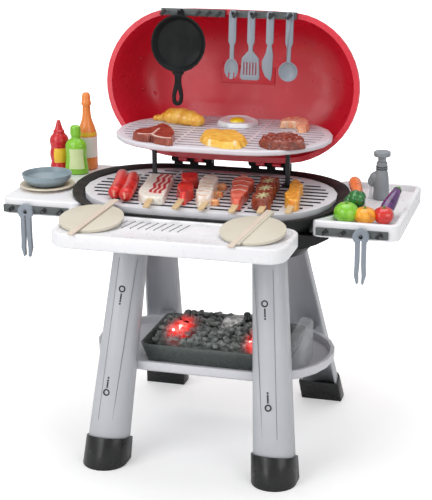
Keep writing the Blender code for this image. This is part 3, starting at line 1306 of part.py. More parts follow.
def lobed(half_x, half_y, lobes, depth_share, steps=33):
    points = []
    for i in range(steps):
        angle = math.tau * i / steps
        reach = 1 - depth_share / 2 * (1 - math.cos(lobes * angle))
        points.append((half_x * reach * math.cos(angle), half_y * reach * math.sin(angle)))
    return points


def on_rack(name, place, outline, edge_share, material):
    obj = piece(name, slab(outline, place[4], edge_share), material)
    return put(obj, (place[0], place[1], RACK_TOP_Z + GAP))


def make_chicken(material):
    shares = ((0.0, 0.35), (0.12, 0.75), (0.38, 1.0), (0.68, 0.92), (0.86, 0.52), (0.94, 0.30), (1.0, 0.38))
    x, y, half_x, half_y, height = CHICKEN
    rings = []
    for along_share, size in shares:
        ring = []
        for i in range(SMALL_ROUND_STEPS):
            angle = math.tau * i / SMALL_ROUND_STEPS
            z = height * 0.5 + height * 0.5 * size * math.sin(angle)
            ring.append(Vector((half_x * (1 - 2 * along_share), half_y * size * math.cos(angle), max(z, 0))))
        rings.append(ring)
    return put(piece("roast_chicken", loft(rings), material), (x, y, RACK_TOP_Z + GAP))


def make_steak(material):
    x, y, half_x, half_y, height = STEAK
    outline = [(half_x * share_x, half_y * share_y) for share_x, share_y in zip(STEAK_X_SHARES, STEAK_Y_SHARES)]
    return on_rack("t_bone_steak", STEAK, outline, 0.86, material)


def make_egg(material):
    egg = on_rack("fried_egg", EGG, lobed(EGG[2], EGG[3], 5, 0.10, 30), 0.55, material)
    height = EGG[4]
    yolk = turned((height * 0.5, height + YOLK_HEIGHT * 0.4, height + YOLK_HEIGHT * 0.8, height + YOLK_HEIGHT),
                  (YOLK_RADIUS, YOLK_RADIUS * 0.95, YOLK_RADIUS * 0.7, YOLK_RADIUS * 0.3), SMALL_ROUND_STEPS)
    return fuse(egg, moved(yolk, egg.location))


def make_shrimp(material):
    """A curled shrimp: a tapering round body swept about its own middle, with its underside flattened."""
    x, y, half_x, half_y, height = SHRIMP
    rings = []
    for i in range(ARC_STEPS + 1):
        share = i / ARC_STEPS
        angle = SHRIMP_SWEEP * (share - SHRIMP_START_SHARE)
        size = SHRIMP_TUBE * (1.0 - 0.62 * abs(share - 0.35))
        reach_x, reach_y = half_x - SHRIMP_TUBE, half_y - SHRIMP_TUBE
        out = Vector((math.cos(angle), math.sin(angle), 0))
        centre = Vector((reach_x * out.x, reach_y * out.y, 0))
        ring = []
        for px, pz in circle(size, SMALL_ROUND_STEPS):
            ring.append(centre + out * px + Vector((0, 0, max(pz * height / (2 * SHRIMP_TUBE) + height / 2, 0))))
        rings.append(ring)
    return put(piece("shrimp", loft(rings), material), (x, y, RACK_TOP_Z + GAP))


# Vegetables: the node limit joins them where they touch
BULB_HEIGHT_SHARES = (0.0, 0.18, 0.45, 0.72, 0.92, 1.0)
BULB_WIDTH_SHARES = (0.50, 0.86, 1.0, 0.90, 0.55, 0.25)
TIP_SHARES = ((0.0, 0.55), (0.12, 0.90), (0.40, 1.0), (0.70, 0.72), (0.92, 0.40), (1.0, 0.18))


def bulb(place):
    x, y, foot, half_x, half_y, height = place
    rings = []
    for z_share, size in zip(BULB_HEIGHT_SHARES, BULB_WIDTH_SHARES):
        rings.append([Vector((px * half_x, py * half_y, z_share * height))
                      for px, py in circle(size, SMALL_ROUND_STEPS + CORNER_STEPS)])
    return moved(loft(rings), (x, y, SINK_FLOOR_Z + GAP + foot))


def raised(point):
    return Vector((point[0], point[1], SINK_FLOOR_Z + GAP + point[2]))


def cone(foot, tip, radius):
    """A long vegetable from its thick foot to its tip."""
    start, end = raised(foot), raised(tip)
    turn = (end - start).to_track_quat("Z", "Y").to_matrix()
    return loft([[start.lerp(end, share) + turn @ Vector((px, py, 0)) for px, py in circle(radius * size, SMALL_ROUND_STEPS)]
                 for share, size in TIP_SHARES])


def make_vegetables(material):
    obj = piece("vegetables", bulb(LIME_VEG), material)
    carrot = tube(raised(CARROT_END), raised(CARROT_TOP), CARROT_END_RADIUS, CARROT_TOP_RADIUS)
    return fuse(obj, bulb(PUMPKIN), bulb(TOMATO), bulb(PEPPER), carrot, cone(AUBERGINE_FOOT, AUBERGINE_TIP, AUBERGINE_RADIUS))


LEG_LINES = (((FRONT_TOP_X, FRONT_TOP_Y), (FRONT_FLOOR_X, FRONT_FLOOR_Y), 1),
             ((BACK_TOP_X, BACK_TOP_Y), (BACK_FLOOR_X, BACK_FLOOR_Y), -1))


def make_base(black, white, silver, pale, grey):
    make_tub(black)
    make_grate(pale)
    make_front_shelf(white)
    make_tray("left_tray", -1, white)
    make_tray("right_tray", 1, white, SINK_RECESS)
    make_tray_rail("left_tray_rail", LEFT_TRAY_RAIL_X, grey)
    make_tray_rail("right_tray_rail", RIGHT_TRAY_RAIL_X, grey)
    for side, hand in ((-1, "left"), (1, "right")):
        for (top, floor, facing), end in zip(LEG_LINES, ("front", "back")):
            make_leg(f"{end}_{hand}_leg", side, top, floor, facing, silver)
            make_foot(f"{end}_{hand}_foot", side, top, floor, facing, black)
        make_post(f"{hand}_rack_post", side, black)
        make_pin(f"{hand}_hinge_pin", side, grey)
    make_rack(pale)
    make_lower_shelf(pale)


def make_fire(black, smoke, coal, grey, clear):
    make_coal_tray(smoke)
    make_unit(black)
    make_battery_door(black)
    make_switch(grey)
    make_heap(coal)
    make_tank(clear)


def hang(obj, x, face_y, hole_z, parent=None):
    return put(obj, (x, face_y - GAP, hole_z), parent)


def make_lid_group(red, rail, black, tool):
    lid_axis = frame_empty("lid_axis", (0, HINGE_Y, HINGE_Z), -LID_TILT)
    make_lid(red, lid_axis)
    make_lid_rail("left_lid_rail", LEFT_RAIL_FROM_X, LEFT_RAIL_TO_X, (PAN_X,), rail, lid_axis)
    hooks = (SPORK_X, SPATULA_X, KNIFE_X, LADLE_X)
    make_lid_rail("right_lid_rail", RIGHT_RAIL_FROM_X, RIGHT_RAIL_TO_X, hooks, rail, lid_axis)
    for obj, x in ((make_pan(black), PAN_X), (make_spork(tool), SPORK_X), (make_spatula(tool), SPATULA_X),
                   (make_knife(tool), KNIFE_X), (make_ladle(tool), LADLE_X)):
        hang(obj, x, LID_RAIL_FACE_Y, PEG_Z + hole_rise(), lid_axis)


def make_tray_things(tool, cream, red, green, orange, veg):
    tongs_z = TRAY_PEG_Z + hole_rise(TONGS_THICKNESS, TONGS_HOLE_RADIUS)
    hang(make_tongs("left_tongs", tool), tray_peg_x(LEFT_TRAY_RAIL_X, 1), TRAY_RAIL_FACE_Y, tongs_z)
    hang(make_tongs("right_tongs", tool), tray_peg_x(RIGHT_TRAY_RAIL_X, 2), TRAY_RAIL_FACE_Y, tongs_z)
    make_tap(tool)
    make_tap_knob(tool)
    make_plate(cream)
    make_bowl(tool)
    make_bottle("red_sauce_bottle", RED_BOTTLE, RED_HEIGHT_SHARES, RED_RADIUS_SHARES, 1.0, red)
    make_bottle("green_sauce_bottle", GREEN_BOTTLE, GREEN_HEIGHT_SHARES, GREEN_RADIUS_SHARES, BOTTLE_FLAT_SHARE, green)
    make_bottle("orange_sauce_bottle", ORANGE_BOTTLE, ORANGE_HEIGHT_SHARES, ORANGE_RADIUS_SHARES, 1.0, orange)
    make_paddle("left_paddle", LEFT_PADDLE_X, cream)
    make_paddle("right_paddle", RIGHT_PADDLE_X, cream)
    make_vegetables(veg)


def make_grate_food(red, cream, salmon, brown, yellow):
    make_sausages(red)
    make_skewer("bacon_skewer", BACON_FRONT, BACON_BACK, bacon_body, LONG_STICK, cream)
    make_skewer("meatball_skewer", BALL_FRONT, BALL_BACK, ball_body, LONG_STICK, red)
    make_skewer("squid_skewer", SQUID_FRONT, SQUID_BACK, squid_body, SHORT_STICK, cream)
    make_skewer("salmon_skewer", SALMON_FRONT, SALMON_BACK, salmon_body, SHORT_STICK, salmon)
    make_skewer("mushroom_skewer", MUSHROOM_FRONT, MUSHROOM_BACK, mushroom_body, SHORT_STICK, brown)
    make_skewer("corn_skewer", CORN_FRONT, CORN_BACK, corn_body, SHORT_STICK, yellow)


def make_rack_food(yellow, brown, white, salmon):
    make_chicken(yellow)
    make_steak(brown)
    make_egg(white)
    on_rack("chicken_nugget", RUFFLE, lobed(RUFFLE[2], RUFFLE[3], RUFFLE_LUMPS, RUFFLE_DEPTH_SHARE), 0.80, yellow)
    make_shrimp(salmon)
    on_rack("meat_patty", PATTY, lobed(PATTY[2], PATTY[3], 7, 0.10), 0.84, brown)


def main():
    clear_scene()
    black = finish("black_plastic", "17181A", 0.25)
    white = finish("white_plastic", "F1F1F3", 0.30)
    silver = finish("silver_plastic", "C9CCD0", 0.35)
    pale = finish("pale_grey_plastic", "D8D8DD", 0.35)
    grey = finish("dark_grey_plastic", "4A4D50", 0.40)
    red = finish("red_plastic", "C4122B", 0.22)
    tool = finish("blue_grey_plastic", "8C99A3", 0.38)
    cream = finish("cream_plastic", "DDD6C4", 0.50)
    food_red = finish("red_food_plastic", "C8221F", 0.30)
    salmon = finish("salmon_food_plastic", "E07A63", 0.35)
    brown = finish("brown_food_plastic", "6E2F20", 0.45)
    yellow = finish("yellow_food_plastic", "EBB24A", 0.40)
    green = finish("green_plastic", "8CC63F", 0.30)
    smoke = finish("smoked_plastic", "3A3D40", 0.15, 0.6)
    coal = finish("charcoal_plastic", "1C1D1F", 0.70)
    clear = finish("clear_plastic", "DCE4E8", 0.08, 0.35)
    make_base(black, white, silver, pale, grey)
    make_fire(black, smoke, coal, grey, clear)
    make_lid_group(red, grey, black, tool)
    make_tray_things(tool, cream, food_red, green, yellow, green)
    make_grate_food(food_red, cream, salmon, brown, yellow)
    make_rack_food(yellow, brown, white, salmon)


main()
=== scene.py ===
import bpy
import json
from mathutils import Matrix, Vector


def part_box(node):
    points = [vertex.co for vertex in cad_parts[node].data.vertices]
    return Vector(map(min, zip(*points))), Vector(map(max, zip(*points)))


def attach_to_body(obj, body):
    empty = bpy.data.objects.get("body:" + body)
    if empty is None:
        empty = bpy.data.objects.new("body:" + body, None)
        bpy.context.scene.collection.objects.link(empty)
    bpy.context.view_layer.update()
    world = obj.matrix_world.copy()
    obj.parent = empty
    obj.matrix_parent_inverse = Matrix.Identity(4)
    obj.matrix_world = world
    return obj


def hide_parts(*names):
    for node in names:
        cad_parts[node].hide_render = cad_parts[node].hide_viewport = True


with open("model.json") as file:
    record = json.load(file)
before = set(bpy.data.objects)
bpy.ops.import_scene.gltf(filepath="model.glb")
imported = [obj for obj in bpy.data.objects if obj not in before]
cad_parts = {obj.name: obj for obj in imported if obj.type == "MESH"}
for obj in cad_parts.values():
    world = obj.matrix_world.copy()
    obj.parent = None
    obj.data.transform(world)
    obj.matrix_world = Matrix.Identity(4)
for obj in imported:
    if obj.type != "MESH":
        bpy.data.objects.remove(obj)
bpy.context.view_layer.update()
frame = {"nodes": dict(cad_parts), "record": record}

import json
import math
import random

import bpy
from mathutils import Euler, Matrix, Vector

MM = 0.001
RECORD = frame["record"]
BODIES = {node: body for body, nodes in RECORD["behaviour"]["bodies"].items() for node in nodes}
GRATE_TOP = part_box("main_grate")[1][2]
RACK_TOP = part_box("upper_rack")[1][2]
CLEARANCE = 0.3 * MM
# How far a form reaches below its resting plane before it is cut flat
OVERLAP = 2 * MM
# Angles in degrees: curved mouldings stay firm at edges sharper than the first, and big curves, soft skins and
# broken lumps are shaded smooth up to the others
FIRM_EDGE, CURVED_SHADE, SOFT_SHADE, FACETED = 38, 40, 60, 12
# A face whose normal rises less than this is a slot's wall
STEEP_WALL = 0.6
# Marks on top of a form fade out between these two rises of the normal
CROWN, FLANK = 0.6, 0.25
# Skewer sticks: half the width, the thickness, the height over the grate and how far they show in front
STICK_HALF, STICK_THICK, STICK_UNDER, STICK_SHOWN = 0.005, 0.0026, 0.0066, 8 * MM


# Modelling helpers
def select_only(*objects):
    if bpy.context.mode != "OBJECT":
        bpy.ops.object.mode_set(mode="OBJECT")
    bpy.ops.object.select_all(action="DESELECT")
    for obj in objects:
        obj.select_set(True)
    if objects:
        bpy.context.view_layer.objects.active = objects[0]


def edit_all():
    """Opens the active object's mesh, with all of it selected."""
    bpy.ops.object.mode_set(mode="EDIT")
    bpy.ops.mesh.select_all(action="SELECT")


def edit_none():
    """Opens the active object's mesh, with nothing selected."""
    bpy.ops.object.mode_set(mode="EDIT")
    bpy.ops.mesh.select_all(action="DESELECT")


def close_mesh():
    bpy.ops.object.mode_set(mode="OBJECT")


def modify(obj, kind, **settings):
    """Adds a modifier and applies it at once."""
    select_only(obj)
    modifier = obj.modifiers.new(kind.title(), kind)
    for name, value in settings.items():
        setattr(modifier, name, value)
    bpy.ops.object.modifier_apply(modifier=modifier.name)
    return obj


def smooth(obj, angle=35):
    select_only(obj)
    bpy.ops.object.shade_smooth_by_angle(angle=math.radians(angle))
    return obj


def soften(obj, width, segments=2, angle=30):
    """Rounds the edges that a mould would round."""
    return modify(obj, "BEVEL", width=width, segments=segments, limit_method="ANGLE",
                  angle_limit=math.radians(angle), use_clamp_overlap=True, miter_outer="MITER_ARC")


def settle(obj):
    """Puts the object's place into its mesh, and turns its faces outwards."""
    select_only(obj)
    bpy.ops.object.transform_apply(location=True, rotation=True, scale=True)
    edit_all()
    bpy.ops.mesh.remove_doubles(threshold=0.001 * MM)
    bpy.ops.mesh.normals_make_consistent(inside=False)
    close_mesh()
    return obj


def merged_copy(node, name):
    """A copy of a CAD node with its loose triangles joined and its flat faces whole."""
    mesh = frame["nodes"][node].data.copy()
    mesh.materials.clear()
    obj = bpy.data.objects.new(name, mesh)
    bpy.context.scene.collection.objects.link(obj)
    select_only(obj)
    edit_all()
    bpy.ops.mesh.remove_doubles(threshold=0.01 * MM)
    close_mesh()
    return obj


def joined(name, pieces):
    """One object of several, under the first one's place."""
    select_only(*pieces)
    if len(pieces) > 1:
        bpy.ops.object.join()
    obj = bpy.context.view_layer.objects.active
    obj.name = name
    return obj


def attach(obj, material, node):
    """Gives a piece its material, and the body of the node that it rides with."""
    obj.data.materials.clear()
    obj.data.materials.append(material)
    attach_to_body(obj, BODIES[node])
    return obj


def dress(obj, material, node):
    """Attaches a piece that is shown in place of the node."""
    attach(obj, material, node)
    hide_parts(node)
    return obj


def moulding(node, material, edge):
    """The node's own form with moulded edges, in millimetres."""
    return dress(smooth(soften(merged_copy(node, node + "_moulding"), edge * MM)), material, node)


def rounded_form(node, name):
    """The node's own form with its curves made smooth: whole quads, firm edges kept, one subdivision."""
    obj = merged_copy(node, name)
    select_only(obj)
    edit_all()
    bpy.ops.mesh.tris_convert_to_quads(face_threshold=math.radians(40), shape_threshold=math.radians(60))
    bpy.ops.mesh.select_all(action="DESELECT")
    bpy.ops.mesh.select_mode(type="EDGE")
    bpy.ops.mesh.edges_select_sharp(sharpness=math.radians(FIRM_EDGE))
    close_mesh()
    crease = obj.data.attributes.new("crease_edge", "FLOAT", "EDGE")
    crease.data.foreach_set("value", [1.0 if edge.select else 0.0 for edge in obj.data.edges])
    return modify(obj, "SUBSURF", levels=1, render_levels=1)


def shade_slot_walls(obj, material, node, border):
    """Gives the walls of a grate's slots, inside its border, a material of their own, which paints the shade in the
    slots.
    """
    low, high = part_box(node)
    middle = [(a + b) / 2 for a, b in zip(low, high)]
    half_x, half_y = (high[0] - low[0]) / 2, (high[1] - low[1]) / 2
    obj.data.materials.append(material)
    for polygon in obj.data.polygons:
        along_x = max(abs(polygon.center.x - middle[0]) - (half_x - half_y), 0.0)
        inside = math.hypot(along_x, polygon.center.y - middle[1]) < half_y - border * MM
        if inside and abs(polygon.normal.z) < STEEP_WALL:
            polygon.material_index = 1
    return obj


def through(points, steps=4, closed=True):
    """A smooth line through the points."""
    points = [Vector(point) for point in points]
    count = len(points)
    line = []
    for i in range(count if closed else count - 1):
        a, b, c, d = (points[(i + k) % count] if closed else points[min(max(i + k, 0), count - 1)]
                      for k in (-1, 0, 1, 2))
        for step in range(steps):
            t = step / steps
            line.append((2 * b + (c - a) * t + (2 * a - 5 * b + 4 * c - d) * t * t
                         + (3 * b - a - 3 * c + d) * t ** 3) / 2)
    return line if closed else line + [points[-1]]


def metres(points):
    return [(x * MM, y * MM) for x, y in points]


def fit(points, low, high, outline=None):
    """Millimetre points moved and stretched as the outline is that fills the box from low to high, in metres."""
    xs, ys = zip(*(outline or points))
    return [(low[0] + (x - min(xs)) / (max(xs) - min(xs)) * (high[0] - low[0]),
             low[1] + (y - min(ys)) / (max(ys) - min(ys)) * (high[1] - low[1])) for x, y in points]


def slab(name, outline, bottom, top, taper=1.0):
    """A flat piece: a ring whose points are moved to the outline, filled, pulled up and drawn in at its top."""
    select_only()
    bpy.ops.mesh.primitive_circle_add(vertices=len(outline), radius=0.05, fill_type="NGON", location=(0, 0, 0))
    obj = bpy.context.object
    obj.name = name
    for vertex, point in zip(obj.data.vertices, outline):
        vertex.co = (point[0], point[1], bottom)
    edit_all()
    bpy.ops.mesh.extrude_region_move(TRANSFORM_OT_translate={"value": (0, 0, top - bottom)})
    if taper != 1.0:
        middle = sum((Vector((x, y, 0)) for x, y, *_ in outline), Vector()) / len(outline)
        bpy.ops.transform.resize(value=(taper, taper, 1), center_override=(middle.x, middle.y, top))
    close_mesh()
    return settle(obj)


def named(name, size):
    """Names and sizes the piece that has just been made."""
    bpy.context.object.name = name
    bpy.context.object.scale = size
    return settle(bpy.context.object)


def block(name, centre, size, turn=(0, 0, 0), edge=0.3):
    """A small block of the given size, turned, with moulded edges."""
    select_only()
    bpy.ops.mesh.primitive_cube_add(size=1, location=centre, rotation=[math.radians(angle) for angle in turn])
    return smooth(soften(named(name, size), edge * MM, 3))


def ball(name, centre, radii, segments=24, rings=14, turn=(0, 0, 0)):
    """A ball stretched to its three radii and turned, to be worked on further."""
    select_only()
    bpy.ops.mesh.primitive_uv_sphere_add(segments=segments, ring_count=rings, radius=1.0, location=centre,
                                         rotation=[math.radians(angle) for angle in turn])
    return named(name, radii)


def turned(name, place, profile, steps=32):
    """A turned piece: a filled ring pulled up step by step through (radius, height) in millimetres."""
    x, y, z = place
    select_only()
    radius, height = profile[0]
    bpy.ops.mesh.primitive_circle_add(vertices=steps, radius=radius * MM, fill_type="NGON",
                                      location=(x, y, z + height * MM))
    obj = bpy.context.object
    obj.name = name
    bpy.ops.object.transform_apply(location=True, rotation=True, scale=True)
    edit_all()
    for next_radius, next_height in profile[1:]:
        bpy.ops.mesh.extrude_region_move(TRANSFORM_OT_translate={"value": (0, 0, (next_height - height) * MM)})
        share = next_radius / radius
        bpy.ops.transform.resize(value=(share, share, 1), center_override=(x, y, z + next_height * MM))
        radius, height = next_radius, next_height
    close_mesh()
    return settle(obj)


def laid(obj, place, way):
    """Puts an upright piece at its place, turned to lie along the way."""
    obj.location = place
    obj.rotation_mode = "QUATERNION"
    obj.rotation_quaternion = way.to_track_quat("Z", "Y")
    return settle(obj)


def hoop(name, centre, radius, thickness, segments, turn, stretch):
    """A thin ring, turned and stretched along its axis."""
    select_only()
    bpy.ops.mesh.primitive_torus_add(major_radius=radius, minor_radius=thickness, major_segments=segments[0],
                                     minor_segments=segments[1], location=centre, rotation=(turn, 0, 0))
    return named(name, (1, 1, stretch))


def cut_below(obj, height):
    """Cuts a piece flat where it rests, and closes the cut."""
    select_only(obj)
    edit_all()
    bpy.ops.mesh.bisect(plane_co=(0, 0, height), plane_no=(0, 0, 1), use_fill=True, clear_inner=True)
    close_mesh()
    return obj


def even_skin(obj, voxel, ease):
    """Joins rough blocks under one even skin, and eases its edges."""
    modify(obj, "REMESH", mode="VOXEL", voxel_size=voxel * MM)
    return modify(obj, "SMOOTH", factor=0.5, iterations=ease)


def soft_skin(obj, foot, voxel, ease=6, lump=0.0, lump_size=8.0):
    """Turns rough blocks into one soft moulded form: an even skin with lumps and a flat foot."""
    even_skin(obj, voxel, ease)
    if lump:
        texture = bpy.data.textures.new(obj.name + "_lumps", "CLOUDS")
        texture.noise_scale = lump_size * MM
        modify(obj, "DISPLACE", texture=texture, strength=lump * MM, mid_level=0.5, texture_coords="LOCAL")
    return smooth(cut_below(obj, foot), SOFT_SHADE)


def distance_to_line(x, y, line):
    """How far a point lies from a line of (x, y) points."""
    best = 1.0
    for (ax, ay), (bx, by) in zip(line, line[1:]):
        dx, dy = bx - ax, by - ay
        length = dx * dx + dy * dy
        t = min(max(((x - ax) * dx + (y - ay) * dy) / length, 0.0), 1.0) if length else 0.0
        best = min(best, math.hypot(x - ax - dx * t, y - ay - dy * t))
    return best


def mark(obj, layer, lines, width, raised=0.0, edge=0.7, foot=0.0, top_only=False):
    """Marks the skin near the lines for a second colour, and lifts it there, as the mould does."""
    values = []
    for vertex in obj.data.vertices:
        x, y, z = vertex.co
        near = min(distance_to_line(x, y, line) for line in lines)
        value = min(max((width / 2 * MM - near) / (edge * MM) + 0.5, 0.0), 1.0)
        if top_only:
            value *= min(max((vertex.normal.z - FLANK) / (CROWN - FLANK), 0.0), 1.0)
        values.append(value)
        if raised and z > foot + OVERLAP:
            vertex.co.z = z + raised * MM * value
    layer_data = obj.data.attributes.new(layer, "FLOAT", "POINT")
    layer_data.data.foreach_set("value", values)
    return obj


# Materials
def hex_rgba(code):
    channels = [int(code[i:i + 2], 16) / 255 for i in (0, 2, 4)]
    return [c / 12.92 if c <= 0.04045 else ((c + 0.055) / 1.055) ** 2.4 for c in channels] + [1.0]


def add(tree, kind, inputs=None, stops=(), **settings):
    """Adds a node with its settings, and sets or links its inputs. Colours are hex, ramp stops rise."""
    node = tree.nodes.new("ShaderNode" + kind)
    for name, value in settings.items():
        setattr(node, name, value)
    for name, value in (inputs or {}).items():
        if isinstance(value, bpy.types.NodeSocket):
            tree.links.new(value, node.inputs[name])
        else:
            node.inputs[name].default_value = hex_rgba(value) if isinstance(value, str) else value
    elements = node.color_ramp.elements if stops else ()
    for _ in stops[2:]:
        elements.new(0.5)
    for element, (place, code) in zip(elements, stops):
        element.position = place
        element.color = hex_rgba(code)
    return node


def new_material(name):
    """An empty material, its node tree and the piece's own coordinates."""
    material = bpy.data.materials.new(name)
    material.use_nodes = True
    material.node_tree.nodes.clear()
    return material, material.node_tree, add(material.node_tree, "TexCoord").outputs["Object"]


def painted(tree, tint, marks):
    """Second colours, laid over the first where the piece is marked for them."""
    for layer, paint in marks:
        marked = add(tree, "Attribute", attribute_name=layer)
        tint = add(tree, "Mix", {0: marked.outputs["Fac"], 6: tint, 7: paint}, data_type="RGBA").outputs[2]
    return tint


def grained(tree, place, grain_mm, depth_mm):
    """The fine texture of the mould, as relief."""
    grain = add(tree, "TexNoise", {"Vector": place, "Scale": 1 / (grain_mm * MM), "Detail": 4.0, "Roughness": 0.6})
    return add(tree, "Bump", {"Height": grain.outputs["Fac"], "Distance": depth_mm * MM,
                              "Strength": 1.0}).outputs["Normal"]


def moulded_plastic(name, colour, shade, roughness, grain_mm, depth_mm, coat=0.0, ior=1.53, coat_roughness=0.08):
    """Injection-moulded plastic: pigment that clouds a little, fine mould texture and a skin whose gloss
    changes slightly from handling."""
    material, tree, place = new_material(name)
    cloud = add(tree, "TexNoise", {"Vector": place, "Scale": 1 / (70 * MM), "Detail": 3.0})
    tint = add(tree, "ValToRGB", {"Fac": cloud.outputs["Fac"]}, stops=((0.3, shade), (0.7, colour)))
    smudge = add(tree, "TexNoise", {"Vector": place, "Scale": 1 / (22 * MM), "Detail": 3.0})
    gloss = add(tree, "MapRange", {"Value": smudge.outputs["Fac"], "From Min": 0.35, "From Max": 0.65,
                                   "To Min": roughness * 0.85, "To Max": roughness * 1.2})
    shader = add(tree, "BsdfPrincipled", {
        "Base Color": tint.outputs["Color"], "Roughness": gloss.outputs["Result"],
        "Normal": grained(tree, place, grain_mm, depth_mm), "IOR": ior,
        "Coat Weight": coat, "Coat Roughness": coat_roughness})
    add(tree, "OutputMaterial", {"Surface": shader.outputs[0]})
    return material


def baked_pvc(name, light, middle, dark, roughness, patch_mm, grain_mm, depth_mm, coat=0.25, marks=()):
    """Soft vinyl food, cast in one colour and sprayed by hand: three tones in random patches, with a
    slightly waxy gloss."""
    material, tree, place = new_material(name)
    patch = add(tree, "TexNoise", {"Vector": place, "Scale": 1 / (patch_mm * MM), "Detail": 5.0, "Roughness": 0.6})
    tint = add(tree, "ValToRGB", {"Fac": patch.outputs["Fac"]},
               stops=((0.32, dark), (0.5, middle), (0.68, light))).outputs["Color"]
    gloss = add(tree, "MapRange", {"Value": patch.outputs["Fac"], "From Min": 0.3, "From Max": 0.7,
                                   "To Min": roughness * 0.8, "To Max": roughness * 1.25})
    shader = add(tree, "BsdfPrincipled", {
        "Base Color": painted(tree, tint, marks), "Roughness": gloss.outputs["Result"],
        "Normal": grained(tree, place, grain_mm, depth_mm), "IOR": 1.53,
        "Coat Weight": coat, "Coat Roughness": 0.15, "Subsurface Weight": 0.06, "Subsurface Scale": 0.004})
    add(tree, "OutputMaterial", {"Surface": shader.outputs[0]})
    return material


def clear_plastic(name, colour, roughness, alpha):
    """Clear moulded polycarbonate: most light passes, edges catch a highlight."""
    material, tree, place = new_material(name)
    smudge = add(tree, "TexNoise", {"Vector": place, "Scale": 1 / (18 * MM), "Detail": 2.0})
    gloss = add(tree, "MapRange", {"Value": smudge.outputs["Fac"], "From Min": 0.35, "From Max": 0.65,
                                   "To Min": roughness * 0.8, "To Max": roughness * 1.3})
    shader = add(tree, "BsdfPrincipled", {"Base Color": colour, "Roughness": gloss.outputs["Result"], "IOR": 1.58,
                                          "Alpha": alpha})
    add(tree, "OutputMaterial", {"Surface": shader.outputs[0]})
    return material


# ABS for the dome: deep pigment under a clear skin with a soft sheen
red_abs = moulded_plastic("polished_red_abs", "E01F38", "D61A33", 0.32, 6.0, 0.001, coat=0.2, coat_roughness=0.25)
# Black ABS of the feet and the light and mist unit: the same polished tool
black_abs = moulded_plastic("polished_black_abs", "131416", "0E0F10", 0.30, 6.0, 0.001, coat=0.1)
# The tub: black polypropylene, duller than the feet
tub_pp = moulded_plastic("dull_black_pp", "121315", "0E0F10", 0.5, 6.0, 0.001, ior=1.4)
# Dark ABS of the rack's posts and the tap's rings: a plain tool, so a soft sheen
slate_abs = moulded_plastic("satin_slate_abs", "2A2E33", "23272B", 0.38, 1.2, 0.006)
# White ABS of the trays and the shelf: bright and slightly bluish, with a clear gloss
white_abs = moulded_plastic("glossy_white_abs", "F0F0F3", "ECECF0", 0.30, 6.0, 0.001)
# Painted shade of the shelf's ridges and the legs' seams in grey, and the black of printed marks, hooks and the
# painted shade in the lid's slots: flat inks without gloss
ridge_shade_grey = moulded_plastic("grey_painted_ridge_shade", "8C8F96", "84878E", 0.5, 2.0, 0.003)
seam_painted_shade = moulded_plastic("shaded_seam_abs", "8E9096", "86888E", 0.5, 2.0, 0.003)
black_ink_and_slot_shade = moulded_plastic("black_ink_and_painted_slot_shade", "1C1D20", "17181A", 0.5, 2.0, 0.003)
# Legs: silver-pigmented ABS, whose fine metal flakes blur the gloss
silver_abs = moulded_plastic("satin_silver_abs", "C2C4C9", "BCBEC4", 0.36, 6.0, 0.001)
# Grates and the lower shelf: pale grey ABS off a lightly worn tool
pale_abs = moulded_plastic("satin_pale_grey_abs", "D8D8DD", "D3D3D9", 0.36, 6.0, 0.001)
rack_abs = moulded_plastic("satin_lilac_grey_abs", "DDD9E0", "D8D4DC", 0.36, 6.0, 0.001)
# The walls of the grates' slots: painted shade, dark on the grate and grey on the rack, that sets the bars apart
slot_wall_painted_shade = moulded_plastic("dark_painted_shade_in_slots", "3C434C", "343A42", 0.5, 2.0, 0.004)
rack_slot_painted_shade = moulded_plastic("grey_painted_shade_in_slots", "BFB8C2", "B4ADB8", 0.5, 2.0, 0.004)
# Tool rails: grey-green ABS with an etched texture
rail_abs = moulded_plastic("textured_grey_abs", "565B5C", "4E5354", 0.42, 0.8, 0.010)
# Tools and the tap: polypropylene, waxier and bluer than the ABS
tool_pp = moulded_plastic("satin_blue_grey_pp", "8D95A0", "858D98", 0.33, 3.0, 0.002, ior=1.49)
tap_pp = moulded_plastic("satin_tap_grey_pp", "8E9499", "868C91", 0.36, 3.0, 0.002, ior=1.49)
bowl_pp = moulded_plastic("satin_bowl_pp", "8FA0A8", "8797A0", 0.3, 2.0, 0.004, ior=1.49)
cream_pp = moulded_plastic("satin_cream_pp", "DCD0BC", "D5C9B4", 0.4, 3.0, 0.002, ior=1.49)
board_pp = moulded_plastic("smooth_beige_pp", "D6CFBF", "CFC8B6", 0.45, 3.0, 0.003, ior=1.49)
handle_pp = moulded_plastic("smooth_rosy_beige_pp", "DCCDBE", "D4C4B4", 0.45, 3.0, 0.003, ior=1.49)
# Skewer sticks and paddle handles: polypropylene in a wood colour, with faint streaks
stick_pp = moulded_plastic("pale_wood_coloured_pp", "D9BD92", "CDAE80", 0.5, 2.0, 0.012, ior=1.49)
# The pan: black polypropylene with a fine matt texture
pan_pp = moulded_plastic("matt_black_pp", "111315", "0E1011", 0.58, 1.5, 0.004, ior=1.33)
# The charcoal's tray and the water tank: polycarbonate, smoked and clear
smoked_pc = clear_plastic("smoked_polycarbonate", "646B69", 0.25, 0.92)
clear_pc = clear_plastic("clear_polycarbonate", "DDE2E5", 0.06, 0.26)

